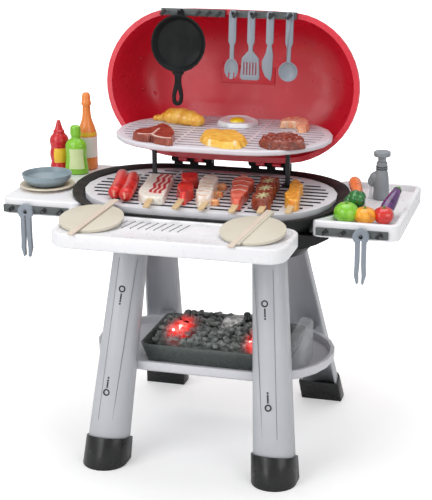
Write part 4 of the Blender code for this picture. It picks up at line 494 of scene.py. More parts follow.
# Nodes that are shown in their own form: the material, the width of the moulded edges in millimetres, the nodes
CARRIED = (
    (white_abs, 1.2, "front_shelf left_tray right_tray"), (rail_abs, 0.5, "left_tray_rail right_tray_rail"),
    (silver_abs, 0.8, "front_left_leg front_right_leg back_left_leg back_right_leg"),
    (black_abs, 0.8, "front_left_foot front_right_foot back_left_foot back_right_foot"),
    (slate_abs, 0.5, "left_rack_post right_rack_post"), (rail_abs, 0.2, "left_hinge_pin right_hinge_pin"),
    (pale_abs, 0.8, "lower_shelf"), (smoked_pc, 0.5, "charcoal_tray"), (black_abs, 0.6, "light_and_mist_unit"),
    (black_abs, 0.4, "battery_door"), (rail_abs, 0.3, "power_button"), (clear_pc, 0.6, "water_tank"),
    (rail_abs, 0.4, "left_lid_rail right_lid_rail"), (tool_pp, 0.4, "fork_spoon spatula knife ladle"),
    (tool_pp, 0.5, "left_tongs right_tongs"), (tap_pp, 0.5, "tap_knob"), (cream_pp, 0.5, "plate"),
    (bowl_pp, 0.4, "bowl"), (board_pp, 0.4, "left_paddle right_paddle"))
for material, edge, nodes in CARRIED:
    for node in nodes.split():
        moulding(node, material, edge)

# Grates: the bars stand apart by painted shade on the walls of their slots
for node, material, shading_of_slots, border in (("main_grate", pale_abs, slot_wall_painted_shade, 9), ("upper_rack", rack_abs, rack_slot_painted_shade, 8)):
    shade_slot_walls(moulding(node, material, 0.3), shading_of_slots, node, border)

# Tub and lid: the two big mouldings, with their curves made smooth
dress(smooth(rounded_form("tub", "tub_moulding"), CURVED_SHADE), tub_pp, "tub")
dress(smooth(rounded_form("lid", "lid_moulding"), CURVED_SHADE), red_abs, "lid")
# The lid's slots: flat black blocks that paint the shade inside the slots
for number, x in enumerate((-0.0682, -0.0117, 0.0495), 1):
    slot = block("lid_slot_%d" % number, (x, 0.2398, 0.6542), (0.018, 0.0018, 0.0052), (16, 0, 0), 0.4)
    attach(slot, black_ink_and_slot_shade, "lid")
for number, place in enumerate(((-0.1893, 0.2118, 0.6118), (-0.1877, 0.2134, 0.5560), (-0.1700, 0.2280, 0.5470)), 1):
    boss = ball("lid_boss_%d" % number, place, (0.0042, 0.0042, 0.0042), 20, 12)
    attach(smooth(boss, SOFT_SHADE), red_abs, "lid")
panel = block("lid_label_panel", (-0.0005, 0.2400, 0.5850), (0.0970, 0.0020, 0.0300), (-7, 0, 0), 0.6)
attach(panel, red_abs, "lid")
# Slanted hooks along the rails of the lid and the trays
for number, x in enumerate((-0.1150, -0.0545, -0.0365, -0.0185, 0.0105, 0.0425, 0.0715, 0.1015), 1):
    hook = block("lid_rail_hook_%d" % number, (x, 0.1156, 0.7072), (0.0056, 0.0044, 0.0120), (-6.7, 46, 0), 0.5)
    attach(hook, black_ink_and_slot_shade, "lid")
HOOK_STEP = 0.028
for side, first_x in (("left", -0.3060), ("right", 0.2110)):
    node = side + "_tray_rail"
    for number in range(4):
        hook = block("%s_hook_%d" % (node, number + 1), (first_x + HOOK_STEP * number, -0.1072, 0.4128),
                     (0.0056, 0.0044, 0.0115), (0, 46, 0), 0.5)
        attach(hook, black_ink_and_slot_shade, node)

# Pan: a flat black disc with a hooked rim, and a broad handle with a drop-shaped opening
PAN_FOOT, HANDLE_HALF = 0.6070, 0.0022
dress(smooth(soften(cut_below(merged_copy("pan", "pan_moulding"), PAN_FOOT), 0.4 * MM)), pan_pp, "pan")
HANDLE = [(-10, 28), (-6.4, 22), (-5.4, 15), (-6.2, 6), (-8.4, -4), (-9.4, -12), (-9.0, -20), (-6.2, -26.4),
          (0, -28.8)]
DROP = [(0, -1), (-2.2, -7), (-3.4, -13), (-3.0, -19), (0, -22)]


def mirrored(half, first):
    """A whole outline in metres, from its left half, whose points from the first one on are repeated."""
    return metres(through(half + [(-x, y) for x, y in reversed(half[first:-1])], 3))


grip = slab("pan_handle", mirrored(HANDLE, 0), -HANDLE_HALF, HANDLE_HALF)
opening = slab("pan_handle_opening", mirrored(DROP, 1), -0.01, 0.01)
modify(grip, "BOOLEAN", object=opening, operation="DIFFERENCE", solver="EXACT")
bpy.data.objects.remove(opening)
soften(grip, 0.8 * MM, 3)
grip.location = (-0.0870, 0.1028, 0.5818)
grip.rotation_euler = (math.radians(83.34), 0, 0)
attach(smooth(settle(grip)), pan_pp, "pan")


# Marks and seams of the legs
def leg_marks(node, top, foot):
    """A ring, a dash and dots at either end of the middle line of a front leg's face."""
    top, foot = Vector(top), Vector(foot)
    down = (foot - top).normalized()
    out = (LEG_FACE - down * LEG_FACE.dot(down)).normalized()
    across = down.cross(out)
    length = (foot - top).length
    pieces = []
    for share, wide, long in ((0.030, 2.0, 10), (0.076, 2.4, 2.8), (0.106, 2.4, 2.8), (0.894, 2.4, 2.8),
                              (0.924, 2.4, 2.8), (0.970, 2.0, 10)):
        piece = block("leg_dash", (0, 0, 0), (wide * MM, 0.0014, long * MM), edge=0.15)
        pieces.append((piece, top + down * length * share))
    for end in (-RING_AWAY, length + RING_AWAY):
        ring = hoop("leg_ring", (0, 0, 0), 0.0046, 0.0011, (32, 8), math.radians(90), 0.5)
        pieces.append((ring, top + down * end))
    for piece, place in pieces:
        for vertex in piece.data.vertices:
            x, y, z = vertex.co
            vertex.co = place + across * x - out * y - down * z + out * MARK_PROUD
    marks = joined(node + "_marks", [piece for piece, _ in pieces])
    return attach(smooth(marks), black_ink_and_slot_shade, node)


def rod(name, wide, thick, start, end, edge):
    """A strip from one point to another."""
    strip = block(name, (0, 0, 0), (wide, thick, (end - start).length), edge=edge)
    return smooth(laid(strip, (start + end) / 2, end - start))


# The way that a front leg's face looks, how far the rings stand from the marks' ends, how proud the print is
LEG_FACE, RING_AWAY, MARK_PROUD = Vector((0, -0.975, 0.22)), 0.008, 0.0004
# Seams, where a leg's front face turns to its side, as grey strips of painted shade: x at the top and at the foot
SEAMS = ((-0.1274, -0.1502), (-0.0968, -0.1262), (0.1274, 0.1502), (0.0968, 0.1262))
for number, (top_x, foot_x) in enumerate(SEAMS, 1):
    node = "front_left_leg" if top_x < 0 else "front_right_leg"
    seam = rod("%s_seam_%d" % (node, number), 0.0010, 0.0010, Vector((foot_x, -0.1517, 0.0783)),
               Vector((top_x, -0.0923, 0.3403)), 0.2)
    attach(seam, seam_painted_shade, node)
leg_marks("front_left_leg", (-0.1206, -0.1070, 0.2835), (-0.1370, -0.1415, 0.1320))
leg_marks("front_right_leg", (0.1182, -0.1075, 0.2800), (0.1325, -0.1412, 0.1350))

# Grey lines beside the ridges of the front shelf: painted shade of the ridges' sides
SHELF_TOP, LINE_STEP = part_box("front_shelf")[1][2], 0.0125
for number in range(9):
    line = block("shelf_line_%d" % (number + 1), (-0.0400 + (number - 4) * LINE_STEP, -0.1820, SHELF_TOP - 0.0009),
                 (0.0014, 0.0380, 0.0016), (0, 0, -12), 0.2)
    attach(line, ridge_shade_grey, "front_shelf")

# Paddle handles: a flat strip across each round board, a little past its front edge
HANDLE_LEAN, HANDLE_RISE, HANDLE_Z = 0.176, 0.138, 0.4343
for side, start_x, start_y in (("left", -0.1308, -0.1983), ("right", 0.1141, -0.2077)):
    ends = [Vector((start_x + HANDLE_LEAN * (y - start_y), y, HANDLE_Z + (y + 0.2077) * HANDLE_RISE))
            for y in (-0.2620, -0.1245)]
    attach(rod(side + "_paddle_handle", 0.0092, 0.0024, *ends, 0.5), handle_pp, side + "_paddle")


# Food on the grate
def food(node, material, outline, low, high, floor, height, taper, ease=6, lump=0.0, lump_size=8.0):
    """A moulded food form whose outline fills the box low to high, from the floor up to a height in
    millimetres, or to its node's top."""
    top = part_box(node)[1][2] if height is None else floor + height * MM
    obj = slab(node + "_food", fit(through(outline, 3), low, high), floor - OVERLAP, top, taper)
    return dress(soft_skin(obj, floor + CLEARANCE, 1.2, ease, lump, lump_size), material, node)


def on_grate(node, material, outline, low, high, height=None, taper=0.95, **skin):
    return food(node, material, outline, low, high, GRATE_TOP, height, taper, **skin)


def stick(node, start, end):
    """The flat stick of a skewer: a block with a round end, from inside the food to beyond its front."""
    middle_z = GRATE_TOP + STICK_UNDER + STICK_THICK / 2
    start, end = Vector((*start, middle_z)), Vector((*end, middle_z))
    end += (end - start).normalized() * STICK_SHOWN
    select_only()
    bpy.ops.mesh.primitive_cube_add(size=1, location=(start + end) / 2,
                                    rotation=(0, 0, math.atan2(end.y - start.y, end.x - start.x)))
    obj = named(node + "_stick", ((end - start).length, STICK_HALF * 2, STICK_THICK))
    edit_none()
    close_mesh()
    for edge in obj.data.edges:
        a, b = (obj.data.vertices[i].co for i in edge.vertices)
        edge.select = abs(a.z - b.z) > STICK_THICK / 2 and (a.xy - end.xy).length < STICK_HALF * 1.2
    bpy.ops.object.mode_set(mode="EDIT")
    bpy.ops.mesh.bevel(offset=STICK_HALF * 0.9, segments=6, affect="EDGES")
    close_mesh()
    return attach(smooth(soften(obj, 0.4 * MM)), stick_pp, node)


# Sausages: two soft PVC casts side by side, glossy red with a pinched tip, paler there by a painted highlight
sausage_pvc = baked_pvc("glossy_red_sausage_pvc", "EC3A28", "DC261E", "B81814", 0.3, 30, 2.0, 0.03, coat=0.25,
                        marks=(("tip", "F0A088"),))


def sausage(name, front, back, radius):
    """A round-ended tube, bent a little sideways, with a painted highlight that makes each end paler."""
    front, back = Vector((*front, 0)), Vector((*back, 0))
    length, half = (back - front).length, (back - front).length / 2 - radius
    obj = ball(name, (0, 0, 0), (radius, radius, radius), 32, 24, (90, 0, 0))
    for vertex in obj.data.vertices:
        if abs(vertex.co.y) > 0.001 * MM:
            vertex.co.y += math.copysign(half, vertex.co.y)
        reach = abs(vertex.co.y) / (length / 2)
        vertex.co.x += SAUSAGE_BEND * (1 - reach * reach)
    middle = (front + back) / 2
    obj.location = (middle.x, middle.y, GRATE_TOP + CLEARANCE + radius)
    obj.rotation_euler = (0, 0, math.atan2(-(back - front).x, (back - front).y))
    settle(obj)
    modify(obj, "SUBSURF", levels=2, render_levels=2)
    tip_highlights = [[(end.x, end.y), (end.x, end.y + 0.0001)] for end in (front.xy, back.xy)]
    return smooth(mark(obj, "tip", tip_highlights, 3.0, edge=1.0), SOFT_SHADE)


SAUSAGE_RADIUS, SAUSAGE_BEND = 0.0111, 0.0035
for side, front, back in (("left", (-0.1300, -0.1040), (-0.1585, 0.0180)),
                          ("right", (-0.1085, -0.1140), (-0.1365, 0.0080))):
    dress(sausage(side + "_sausage", front, back, SAUSAGE_RADIUS), sausage_pvc, "sausage_pair")

# Bacon: a pale slab with three wavy red stripes, painted and slightly raised
bacon_pvc = baked_pvc("cream_bacon_pvc", "F4F1EA", "EFE9DE", "D9CFC0", 0.35, 6, 1.5, 0.05,
                      marks=(("fat", "F0CDBE"), ("lean", "BE1E2E")))
BACON = [(-115, 38), (-95, 41), (-71, 41), (-57, -32), (-42, -106), (-43, -120), (-62, -121), (-79, -118), (-97, -87),
         (-106, -25)]
bacon = on_grate("bacon_skewer", bacon_pvc, BACON, (-0.1150, -0.1120), (-0.0460, 0.0410), ease=5, lump=0.6,
                 lump_size=14)
STRIPE_STEPS, STRIPE_WAVES, STRIPE_SWAY = 30, 3, 1.8


def bacon_stripe(start, end):
    """A stripe that waves along the slab."""
    line = []
    for i in range(STRIPE_STEPS + 1):
        share = i / STRIPE_STEPS
        sway = STRIPE_SWAY * math.sin(share * STRIPE_WAVES * 2 * math.pi)
        line.append((start[0] + (end[0] - start[0]) * share + sway, start[1] + (end[1] - start[1]) * share))
    return metres(line)


mark(bacon, "fat", [metres([(-90, 38), (-69, -88)]), metres([(-81, 38), (-62, -88)])], 9.0, edge=4.0, top_only=True)
mark(bacon, "lean", [bacon_stripe(start, end) for start, end in (
    ((-96, 36), (-75, -84)), ((-86, 37), (-67, -86)), ((-76, 38), (-59, -86)))], 5.0, raised=0.6, foot=GRATE_TOP,
    top_only=True)
stick("bacon_skewer", (-0.0700, -0.095), (-0.0610, -0.147))

# Red skewer: glossy flattened lobes with narrow necks between them
lobe_pvc = baked_pvc("glossy_red_lobe_pvc", "EE4230", "DE2C22", "B81A18", 0.2, 24, 2.0, 0.04, coat=0.5)
LOBES = [(-62, 34), (-48, 43), (-35, 45), (-27, 24), (-26, 4), (-33, -17), (-21, -36), (-12, -64), (-14, -90),
         (-13, -112), (-23, -109), (-34, -83), (-42, -64), (-45, -43), (-38, -26), (-50, -4), (-58, 16)]
on_grate("meatball_skewer", lobe_pvc, LOBES, (-0.0615, -0.1060), (-0.0105, 0.0450), ease=14, height=19, taper=0.86)
stick("meatball_skewer", (-0.0200, -0.095), (-0.0150, -0.144))

# Squid skewer: a white knobbly slab with orange streaks and three wedges at its right side
squid_pvc = baked_pvc("white_squid_pvc", "F6F1E8", "F0E8DC", "E3CDB8", 0.32, 9, 2.0, 0.05,
                      marks=(("streak", "E89A5C"),))
wedge_pvc = baked_pvc("orange_wedge_pvc", "F6CDA6", "EFA468", "D9722F", 0.3, 8, 1.8, 0.05)
SQUID = [(-19, 43), (-5, 49), (6, 32), (13, -10), (16, -34), (20, -55), (26, -84), (29, -108), (22, -122), (11, -124),
         (3, -106), (-4, -84), (-9, -52), (-17, -19), (-21, 21)]
squid = on_grate("squid_skewer", squid_pvc, SQUID, (-0.0205, -0.1120), (0.0285, 0.0420), lump=3.0, lump_size=11,
                 taper=0.9)
mark(squid, "streak", [metres(line) for line in (
    [(-14, 30), (-6, 24), (2, 26)], [(-15, 8), (-6, 2), (4, 4)], [(-10, -18), (0, -24), (9, -20)],
    [(-5, -44), (5, -48), (13, -44)], [(0, -70), (8, -74), (18, -70)], [(6, -94), (14, -97), (22, -92)])], 2.2,
    edge=1.2)
stick("squid_skewer", (0.0210, -0.095), (0.0250, -0.139))
WEDGE = [(-12, -1), (-8, 6), (1, 8), (8.5, 2), (7, -5), (-2, -7)]
for number, (x, y) in enumerate(((17, 7), (24, -41), (31, -88)), 1):
    outline = metres(through([(x + dx, y + dy) for dx, dy in WEDGE], 3))
    wedge = slab("squid_wedge_%d" % number, outline, GRATE_TOP - OVERLAP, GRATE_TOP + 9 * MM, 0.85)
    soft_skin(wedge, GRATE_TOP + CLEARANCE, 1.0, 6, 1.6, 6)
    dress(wedge, wedge_pvc, "squid_skewer")

# Salmon: a leaf-shaped slab with pale arcs of fat
salmon_pvc = baked_pvc("salmon_pink_pvc", "F08A74", "EA6E58", "DE5640", 0.3, 20, 2.0, 0.05, coat=0.4,
                       marks=(("fat", "FBE3D6"),))
SALMON = [(43, 62), (58, 42), (70, 21), (70, 2), (66, -6), (72, -28), (75, -49), (75, -85), (78, -111), (73, -120),
          (65, -114), (57, -90), (49, -65), (45, -44), (44, -24), (37, -4), (32, 16), (33, 36), (37, 57)]
salmon = on_grate("salmon_skewer", salmon_pvc, SALMON, (0.0330, -0.1130), (0.0785, 0.0520))
mark(salmon, "fat", [metres(through(line, 4, closed=False)) for line in (
    [(40, 24), (50, 33), (64, 26)], [(38, -2), (51, 8), (66, 0)], [(46, -30), (55, -20), (70, -28)],
    [(51, -56), (60, -46), (73, -54)])], 3.2, raised=0.3, foot=GRATE_TOP, top_only=True)
stick("salmon_skewer", (0.0700, -0.100), (0.0740, -0.141))

# Brown skewer: a roasted slab with a scalloped edge and three cream stars scored into it
roast_pvc = baked_pvc("roast_brown_pvc", "9A4A2C", "883820", "642414", 0.35, 10, 1.8, 0.08, coat=0.4,
                      marks=(("scored", "D0CF9E"),))
BROWN = [(73, 34), (84, 40), (96, 36), (107, 38), (111, 13), (107, 0), (111, -11), (117, -28), (113, -40),
         (116, -51), (121, -66), (118, -74), (121, -84), (127, -108), (113, -120), (95, -108), (89, -90), (91, -74),
         (87, -59), (84, -44), (84, -32), (79, -24), (82, -8), (81, 5), (75, 20)]
brown = on_grate("mushroom_skewer", roast_pvc, BROWN, (0.0750, -0.1100), (0.1245, 0.0390), lump=0.8, lump_size=9,
                 height=20)
STAR_ARMS, STAR_TURN, STAR_REACH = 8, 12, (9.5, 17)
stars = []
for x, y in ((95, 8), (101, -38), (108, -84)):
    for arm in range(STAR_ARMS):
        angle = math.radians(arm * 360 / STAR_ARMS + STAR_TURN)
        stars.append(metres([(x, y), (x + STAR_REACH[0] * math.cos(angle), y + STAR_REACH[1] * math.sin(angle))]))
mark(brown, "scored", stars, 2.8, raised=0.4, foot=GRATE_TOP, top_only=True)
stick("mushroom_skewer", (0.1130, -0.095), (0.1165, -0.133))

# Golden skewer: lumpy roasted kernels
golden_pvc = baked_pvc("golden_kernel_pvc", "F8BC4C", "F0A035", "D97E20", 0.3, 7, 1.6, 0.08, coat=0.4)
GOLDEN = [(127, 36), (134, 47), (142, 34), (148, 23), (153, 8), (151, -6), (156, -27), (158, -42), (161, -58),
          (164, -76), (165, -94), (155, -99), (147, -88), (141, -76), (138, -62), (134, -51), (134, -38), (136, -28),
          (132, -10), (130, 8)]
on_grate("corn_skewer", golden_pvc, GOLDEN, (0.1275, -0.0950), (0.1655, 0.0420), lump=3.0, height=17)
stick("corn_skewer", (0.1540, -0.085), (0.1580, -0.124))


# Food on the rack
def on_rack(node, material, outline, height=None, taper=0.94, **skin):
    return food(node, material, outline, *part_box(node), RACK_TOP, height, taper, **skin)


def on_form(node, outline, points):
    """Points of a measured outline's millimetres, carried to where the outline was fitted."""
    return fit(points, *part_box(node), outline)


# Chicken: a golden roast of blended lobes with a knobbed drumstick end
chicken_pvc = baked_pvc("golden_roast_pvc", "FBCB62", "F4B846", "E0992C", 0.28, 16, 2.2, 0.06, coat=0.4)
low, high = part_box("roast_chicken")
lobes = []
for x_share, y_share, radius_x, radius_y, radius_z in (
        (0.04, 0.66, 5, 6, 6), (0.07, 0.78, 5, 5, 6), (0.13, 0.66, 6, 6, 6), (0.24, 0.66, 12, 11, 10),
        (0.38, 0.60, 20, 19, 15), (0.52, 0.52, 22, 20, 16), (0.66, 0.42, 21, 18, 15), (0.82, 0.30, 15, 14, 12)):
    lobes.append(ball("chicken_lobe", (low[0] + x_share * (high[0] - low[0]), low[1] + y_share * (high[1] - low[1]),
                                       RACK_TOP + radius_z * 0.6 * MM),
                      (radius_x * MM, radius_y * MM, radius_z * MM)))
chicken = soft_skin(joined("roast_chicken_food", lobes), RACK_TOP + CLEARANCE, 1.2, 14, 0.8, 14)
dress(chicken, chicken_pvc, "roast_chicken")

# Steak: seared brown in patches, with a pale T of bone
steak_pvc = baked_pvc("seared_steak_pvc", "A44E38", "92402E", "6E2A20", 0.3, 12, 1.8, 0.08, coat=0.5,
                      marks=(("bone", "EBC9BC"),))
STEAK = [(-132, -19), (-131, 20), (-118, 36), (-109, 65), (-106, 88), (-100, 92), (-82, 67), (-62, 20), (-54, -8),
         (-52, -32), (-46, -55), (-49, -66), (-63, -62), (-84, -48), (-90, -37), (-96, -44), (-116, -35), (-127, -27)]
steak = on_rack("t_bone_steak", steak_pvc, STEAK, ease=4, lump=0.7, lump_size=12)
mark(steak, "bone", [on_form("t_bone_steak", STEAK, through(line, 3, closed=False)) for line in (
    [(-116, -30), (-102, -33), (-92, -25), (-93, 4), (-94, 30)], [(-92, -25), (-82, -44), (-63, -56), (-47, -56)])],
    4.0, raised=0.8, edge=1.0, foot=RACK_TOP, top_only=True)

# Egg: a bluish white with a raised rim, and a bright yolk
egg_pvc = baked_pvc("white_egg_pvc", "F2F5F8", "E9EEF3", "DDE4EB", 0.28, 30, 4.0, 0.02, coat=0.3)
yolk_pvc = baked_pvc("yolk_yellow_pvc", "F8DC2C", "F4D21C", "E9BC12", 0.2, 20, 3.0, 0.02, coat=0.6)
EGG = [(-36, 135), (-36, 167), (-30, 190), (-19, 202), (-4, 206), (10, 204), (27, 184), (42, 163), (41, 139),
       (32, 109), (14, 103), (-6, 104), (-23, 118)]
egg = on_rack("fried_egg", egg_pvc, EGG, ease=5, height=6.0)
rim = on_form("fried_egg", EGG, through(EGG, 3))
centre = Vector(on_form("fried_egg", EGG, [(3, 146)])[0])
RIM_SHARE = 0.84
inner_rim = [tuple(centre + (Vector(point) - centre) * RIM_SHARE) for point in rim]
mark(egg, "rim", [inner_rim + inner_rim[:1]], 4.0, raised=1.6, edge=2.0, foot=RACK_TOP)
yolk = ball("fried_egg_yolk", (centre.x, centre.y, RACK_TOP + 5.4 * MM), (13.5 * MM, 13.5 * MM, 6.5 * MM), 32, 20)
dress(smooth(cut_below(yolk, RACK_TOP + 4.5 * MM), SOFT_SHADE), yolk_pvc, "fried_egg")

# Nugget: golden crumb with a scalloped edge and two pale drips at the front
nugget_pvc = baked_pvc("golden_crumb_pvc", "FBCF66", "F6C04C", "E6A636", 0.35, 10, 1.6, 0.10, coat=0.3,
                       marks=(("drip", "F8E2B0"),))
NUGGET = [(-30, 83), (-20, 90), (-12, 92), (-2, 90), (8, 93), (17, 90), (25, 91), (33, 78), (38, 62), (46, 52),
          (50, 40), (60, 20), (64, 0), (64, -14), (67, -29), (63, -45), (63, -59), (56, -68), (51, -74), (41, -70),
          (31, -71), (20, -62), (9, -56), (0, -52), (-7, -43), (-14, -28), (-21, -16), (-26, 2), (-31, 18),
          (-31, 40), (-35, 62)]
nugget = on_rack("chicken_nugget", nugget_pvc, NUGGET, ease=4, lump=2.4, lump_size=12, taper=0.84, height=10.0)
mark(nugget, "drip", [on_form("chicken_nugget", NUGGET, line) for line in (
    [(1, -40), (4, -54)], [(48, -44), (51, -60)])], 5.0, raised=0.6, foot=RACK_TOP)

# Shrimp: a peach curl with pale rings
shrimp_pvc = baked_pvc("peach_shrimp_pvc", "F6BC96", "F0AC84", "E29068", 0.28, 14, 2.0, 0.04, coat=0.4,
                       marks=(("ring", "FBDCC0"),))
SHRIMP = [(77, 135), (75, 166), (82, 199), (100, 215), (117, 198), (132, 160), (137, 115), (134, 85), (124, 76),
          (117, 96), (119, 110), (111, 128), (97, 134), (86, 124)]
shrimp = on_rack("shrimp", shrimp_pvc, SHRIMP, ease=12, taper=0.86)
curl = Vector(on_form("shrimp", SHRIMP, [(100, 128)])[0])
rings = []
for angle in range(-60, 250, 24):
    way = Vector((math.cos(math.radians(angle)), math.sin(math.radians(angle))))
    rings.append([tuple(curl + way * reach) for reach in (0.006, 0.070)])
mark(shrimp, "ring", rings, 1.8, raised=0.5, edge=1.0, foot=RACK_TOP)

# Patty: rough dark minced meat
patty_pvc = baked_pvc("minced_patty_pvc", "A04A32", "843420", "561C12", 0.35, 7, 1.5, 0.14, coat=0.5)
PATTY = [(77, -14), (79, 23), (90, 47), (107, 61), (124, 69), (142, 46), (153, 24), (162, -15), (160, -36),
         (140, -53), (115, -57), (104, -63), (90, -46)]
on_rack("meat_patty", patty_pvc, PATTY, ease=4, lump=6.0, lump_size=7, taper=0.88)


# Charcoal, lights and mist
RED_LAMPS = ((-0.0540, -0.0020, 0.1920), (0.0870, -0.0260, 0.1920))
# The painted red glow reaches farther to the front and back than to the sides, by this share of a distance
GLOW_DEPTH = 0.5


def coal_with_painted_glow():
    """Grey cast polystyrene lumps with the light of two red lamps painted on them as a glow: pale red at the lamp,
    then red, then dark.
    """
    material, tree, place = new_material("charcoal_grey_ps_painted_red_glow")
    patch = add(tree, "TexNoise", {"Vector": place, "Scale": 1 / (9 * MM), "Detail": 4.0})
    tint = add(tree, "ValToRGB", {"Fac": patch.outputs["Fac"]},
               stops=((0.3, "4E5453"), (0.5, "858B89"), (0.7, "BFC3C0")))
    wide = add(tree, "VectorMath", {0: place, 1: (1.0, GLOW_DEPTH, 1.0)}, operation="MULTIPLY").outputs[0]
    red_light = None
    for x, y, z in RED_LAMPS:
        far = add(tree, "VectorMath", {0: wide, 1: (x, y * GLOW_DEPTH, z)}, operation="DISTANCE")
        near = add(tree, "MapRange", {"Value": far.outputs["Value"], "From Min": 0.005, "From Max": 0.032,
                                      "To Min": 1.0, "To Max": 0.0},
                   interpolation_type="SMOOTHSTEP").outputs["Result"]
        red_light = near if red_light is None else add(tree, "Math", {0: red_light, 1: near},
                                                       operation="MAXIMUM").outputs[0]
    # The red glow is emission painted on the lumps where the lamps' light falls
    painted_lamp_glow = add(tree, "ValToRGB", {"Fac": red_light},
               stops=((0.0, "000000"), (0.25, "5A0302"), (0.6, "C40905"), (0.85, "F01A10"), (1.0, "FF6A58")))
    shader = add(tree, "BsdfPrincipled", {"Base Color": tint.outputs["Color"], "Roughness": 0.45, "IOR": 1.55,
                                          "Normal": grained(tree, place, 2.5, 0.2),
                                          "Emission Color": painted_lamp_glow.outputs["Color"], "Emission Strength": 1.0})
    add(tree, "OutputMaterial", {"Surface": shader.outputs[0]})
    return material


def lamp_lens():
    """A red lamp behind a small clear lens, so bright that it looks nearly white."""
    material, tree, _ = new_material("red_led_lens")
    shader = add(tree, "Emission", {"Color": "FFE2DE", "Strength": 1.8})
    add(tree, "OutputMaterial", {"Surface": shader.outputs[0]})
    return material


glow_painted_coal = coal_with_painted_glow()
led_red = lamp_lens()
random.seed(7)
low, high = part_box("charcoal_bed")
unit_low, unit_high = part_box("light_and_mist_unit")


def coal_shape():
    """A broken piece of charcoal: a coarse ball with its corners knocked about."""
    select_only()
    bpy.ops.mesh.primitive_ico_sphere_add(subdivisions=2, radius=1.0, location=(0, 0, 0))
    lump = bpy.context.object
    for vertex in lump.data.vertices:
        vertex.co *= random.uniform(0.62, 1.10)
    return settle(lump)


COAL_SHAPES = [coal_shape() for _ in range(6)]
FULL_TURN = 6.28
# Room at the heap's ends, and the steps from lump to lump in the heap and the crust, as shares of a lump's size
HEAP_END, HEAP_PITCH, CRUST_PITCH = 0.008, 1.7, 1.6


def coal_lump(x, y, z, size):
    """A copy of one of the shapes, turned, stretched and put in its place."""
    model = random.choice(COAL_SHAPES)
    lump = model.copy()
    lump.data = model.data.copy()
    bpy.context.scene.collection.objects.link(lump)
    turn = Euler([random.uniform(0, FULL_TURN) for _ in range(3)]).to_matrix().to_4x4()
    stretch = [size * random.uniform(*limits) for limits in ((0.8, 1.3), (0.6, 0.9), (0.6, 0.95))]
    lump.data.transform(Matrix.Translation((x, y, z)) @ Matrix.Diagonal((*stretch, 1)) @ turn)
    return lump


lumps = []
for y, height in ((-0.0455, 0.1872), (-0.036, 0.1895), (-0.024, 0.1910), (-0.012, 0.1930), (0.002, 0.1940),
                  (0.016, 0.1950), (0.030, 0.1960), (0.042, 0.1960)):
    x = low[0] + HEAP_END
    while x < high[0] - HEAP_END:
        size = random.uniform(0.0060, 0.0085)
        lumps.append(coal_lump(x, y + random.uniform(-0.003, 0.003), height + random.uniform(-0.004, 0.003), size))
        x += size * HEAP_PITCH
select_only()
bpy.ops.mesh.primitive_cube_add(size=1, location=((low[0] + high[0]) / 2, 0.0, 0.1710))
core = bpy.context.object
core.scale = (high[0] - low[0] - 0.012, 0.088, 0.0320)
lumps.append(soften(settle(core), 0.004, 3))
heap = cut_below(joined("charcoal_heap", lumps), low[2] + CLEARANCE)
dress(smooth(heap, FACETED), glow_painted_coal, "charcoal_bed")
for number, (x, y, z) in enumerate(RED_LAMPS, 1):
    for name, dx, dy, dz, radius in (("led_lens_%d", 0, -0.004, 0.004, 0.0042),
                                     ("led_lens_small_%d", -0.0115, -0.006, -0.001, 0.0027)):
        lens = ball(name % number, (x + dx, y + dy, z + dz), (radius, radius, radius), 20, 12)
        attach(smooth(lens, SOFT_SHADE), led_red, "charcoal_bed")
# Broken lumps stuck over the light and mist unit hide its top
cover = []
x = unit_low[0] + 0.006
while x < unit_high[0] - 0.004:
    size = random.uniform(0.0058, 0.0078)
    cover.append(coal_lump(x, unit_low[1] + 0.010 + random.uniform(-0.004, 0.006), unit_high[2] - 0.0075, size))
    x += size * CRUST_PITCH
attach(smooth(joined("charcoal_crust", cover), FACETED), glow_painted_coal, "light_and_mist_unit")
for model in COAL_SHAPES:
    bpy.data.objects.remove(model)


def mist_with_painted_glow():
    """A puff of fine water mist: it thins as it rises, and in drifts, and glows faintly white with painted light."""
    material, tree, place = new_material("water_mist_painted_glow")
    rise = add(tree, "SeparateXYZ", {"Vector": place})
    thin = add(tree, "TexNoise", {"Vector": place, "Scale": 1 / (9 * MM), "Detail": 3.0})
    depth = add(tree, "MapRange", {"Value": rise.outputs["Z"], "From Min": 0.192, "From Max": 0.222,
                                   "To Min": 0.85, "To Max": 0.2})
    drift = add(tree, "MapRange", {"Value": thin.outputs["Fac"], "From Min": 0.40, "From Max": 0.66,
                                   "To Min": 0.0, "To Max": 0.75})
    veil = add(tree, "Math", {0: depth.outputs["Result"], 1: drift.outputs["Result"]}, operation="MULTIPLY")
    shader = add(tree, "BsdfPrincipled", {"Base Color": "FFFFFF", "Roughness": 0.9, "Alpha": veil.outputs[0],
                                          "Emission Color": "F4EFEE", "Emission Strength": 0.45})
    add(tree, "OutputMaterial", {"Surface": shader.outputs[0]})
    return material


puffs = [ball("mist_puff", place, radii, 24, 16, turn) for place, radii, turn in (
    ((0.0220, 0.0150, 0.2020), (0.009, 0.008, 0.014), (0, 20, 0)),
    ((0.0320, 0.0150, 0.2080), (0.007, 0.007, 0.014), (0, 35, 0)),
    ((0.0420, 0.0150, 0.2120), (0.006, 0.006, 0.012), (0, 50, 0)))]
attach(smooth(even_skin(joined("mist_puffs", puffs), 1.2, 4), SOFT_SHADE), mist_with_painted_glow(), "light_and_mist_unit")


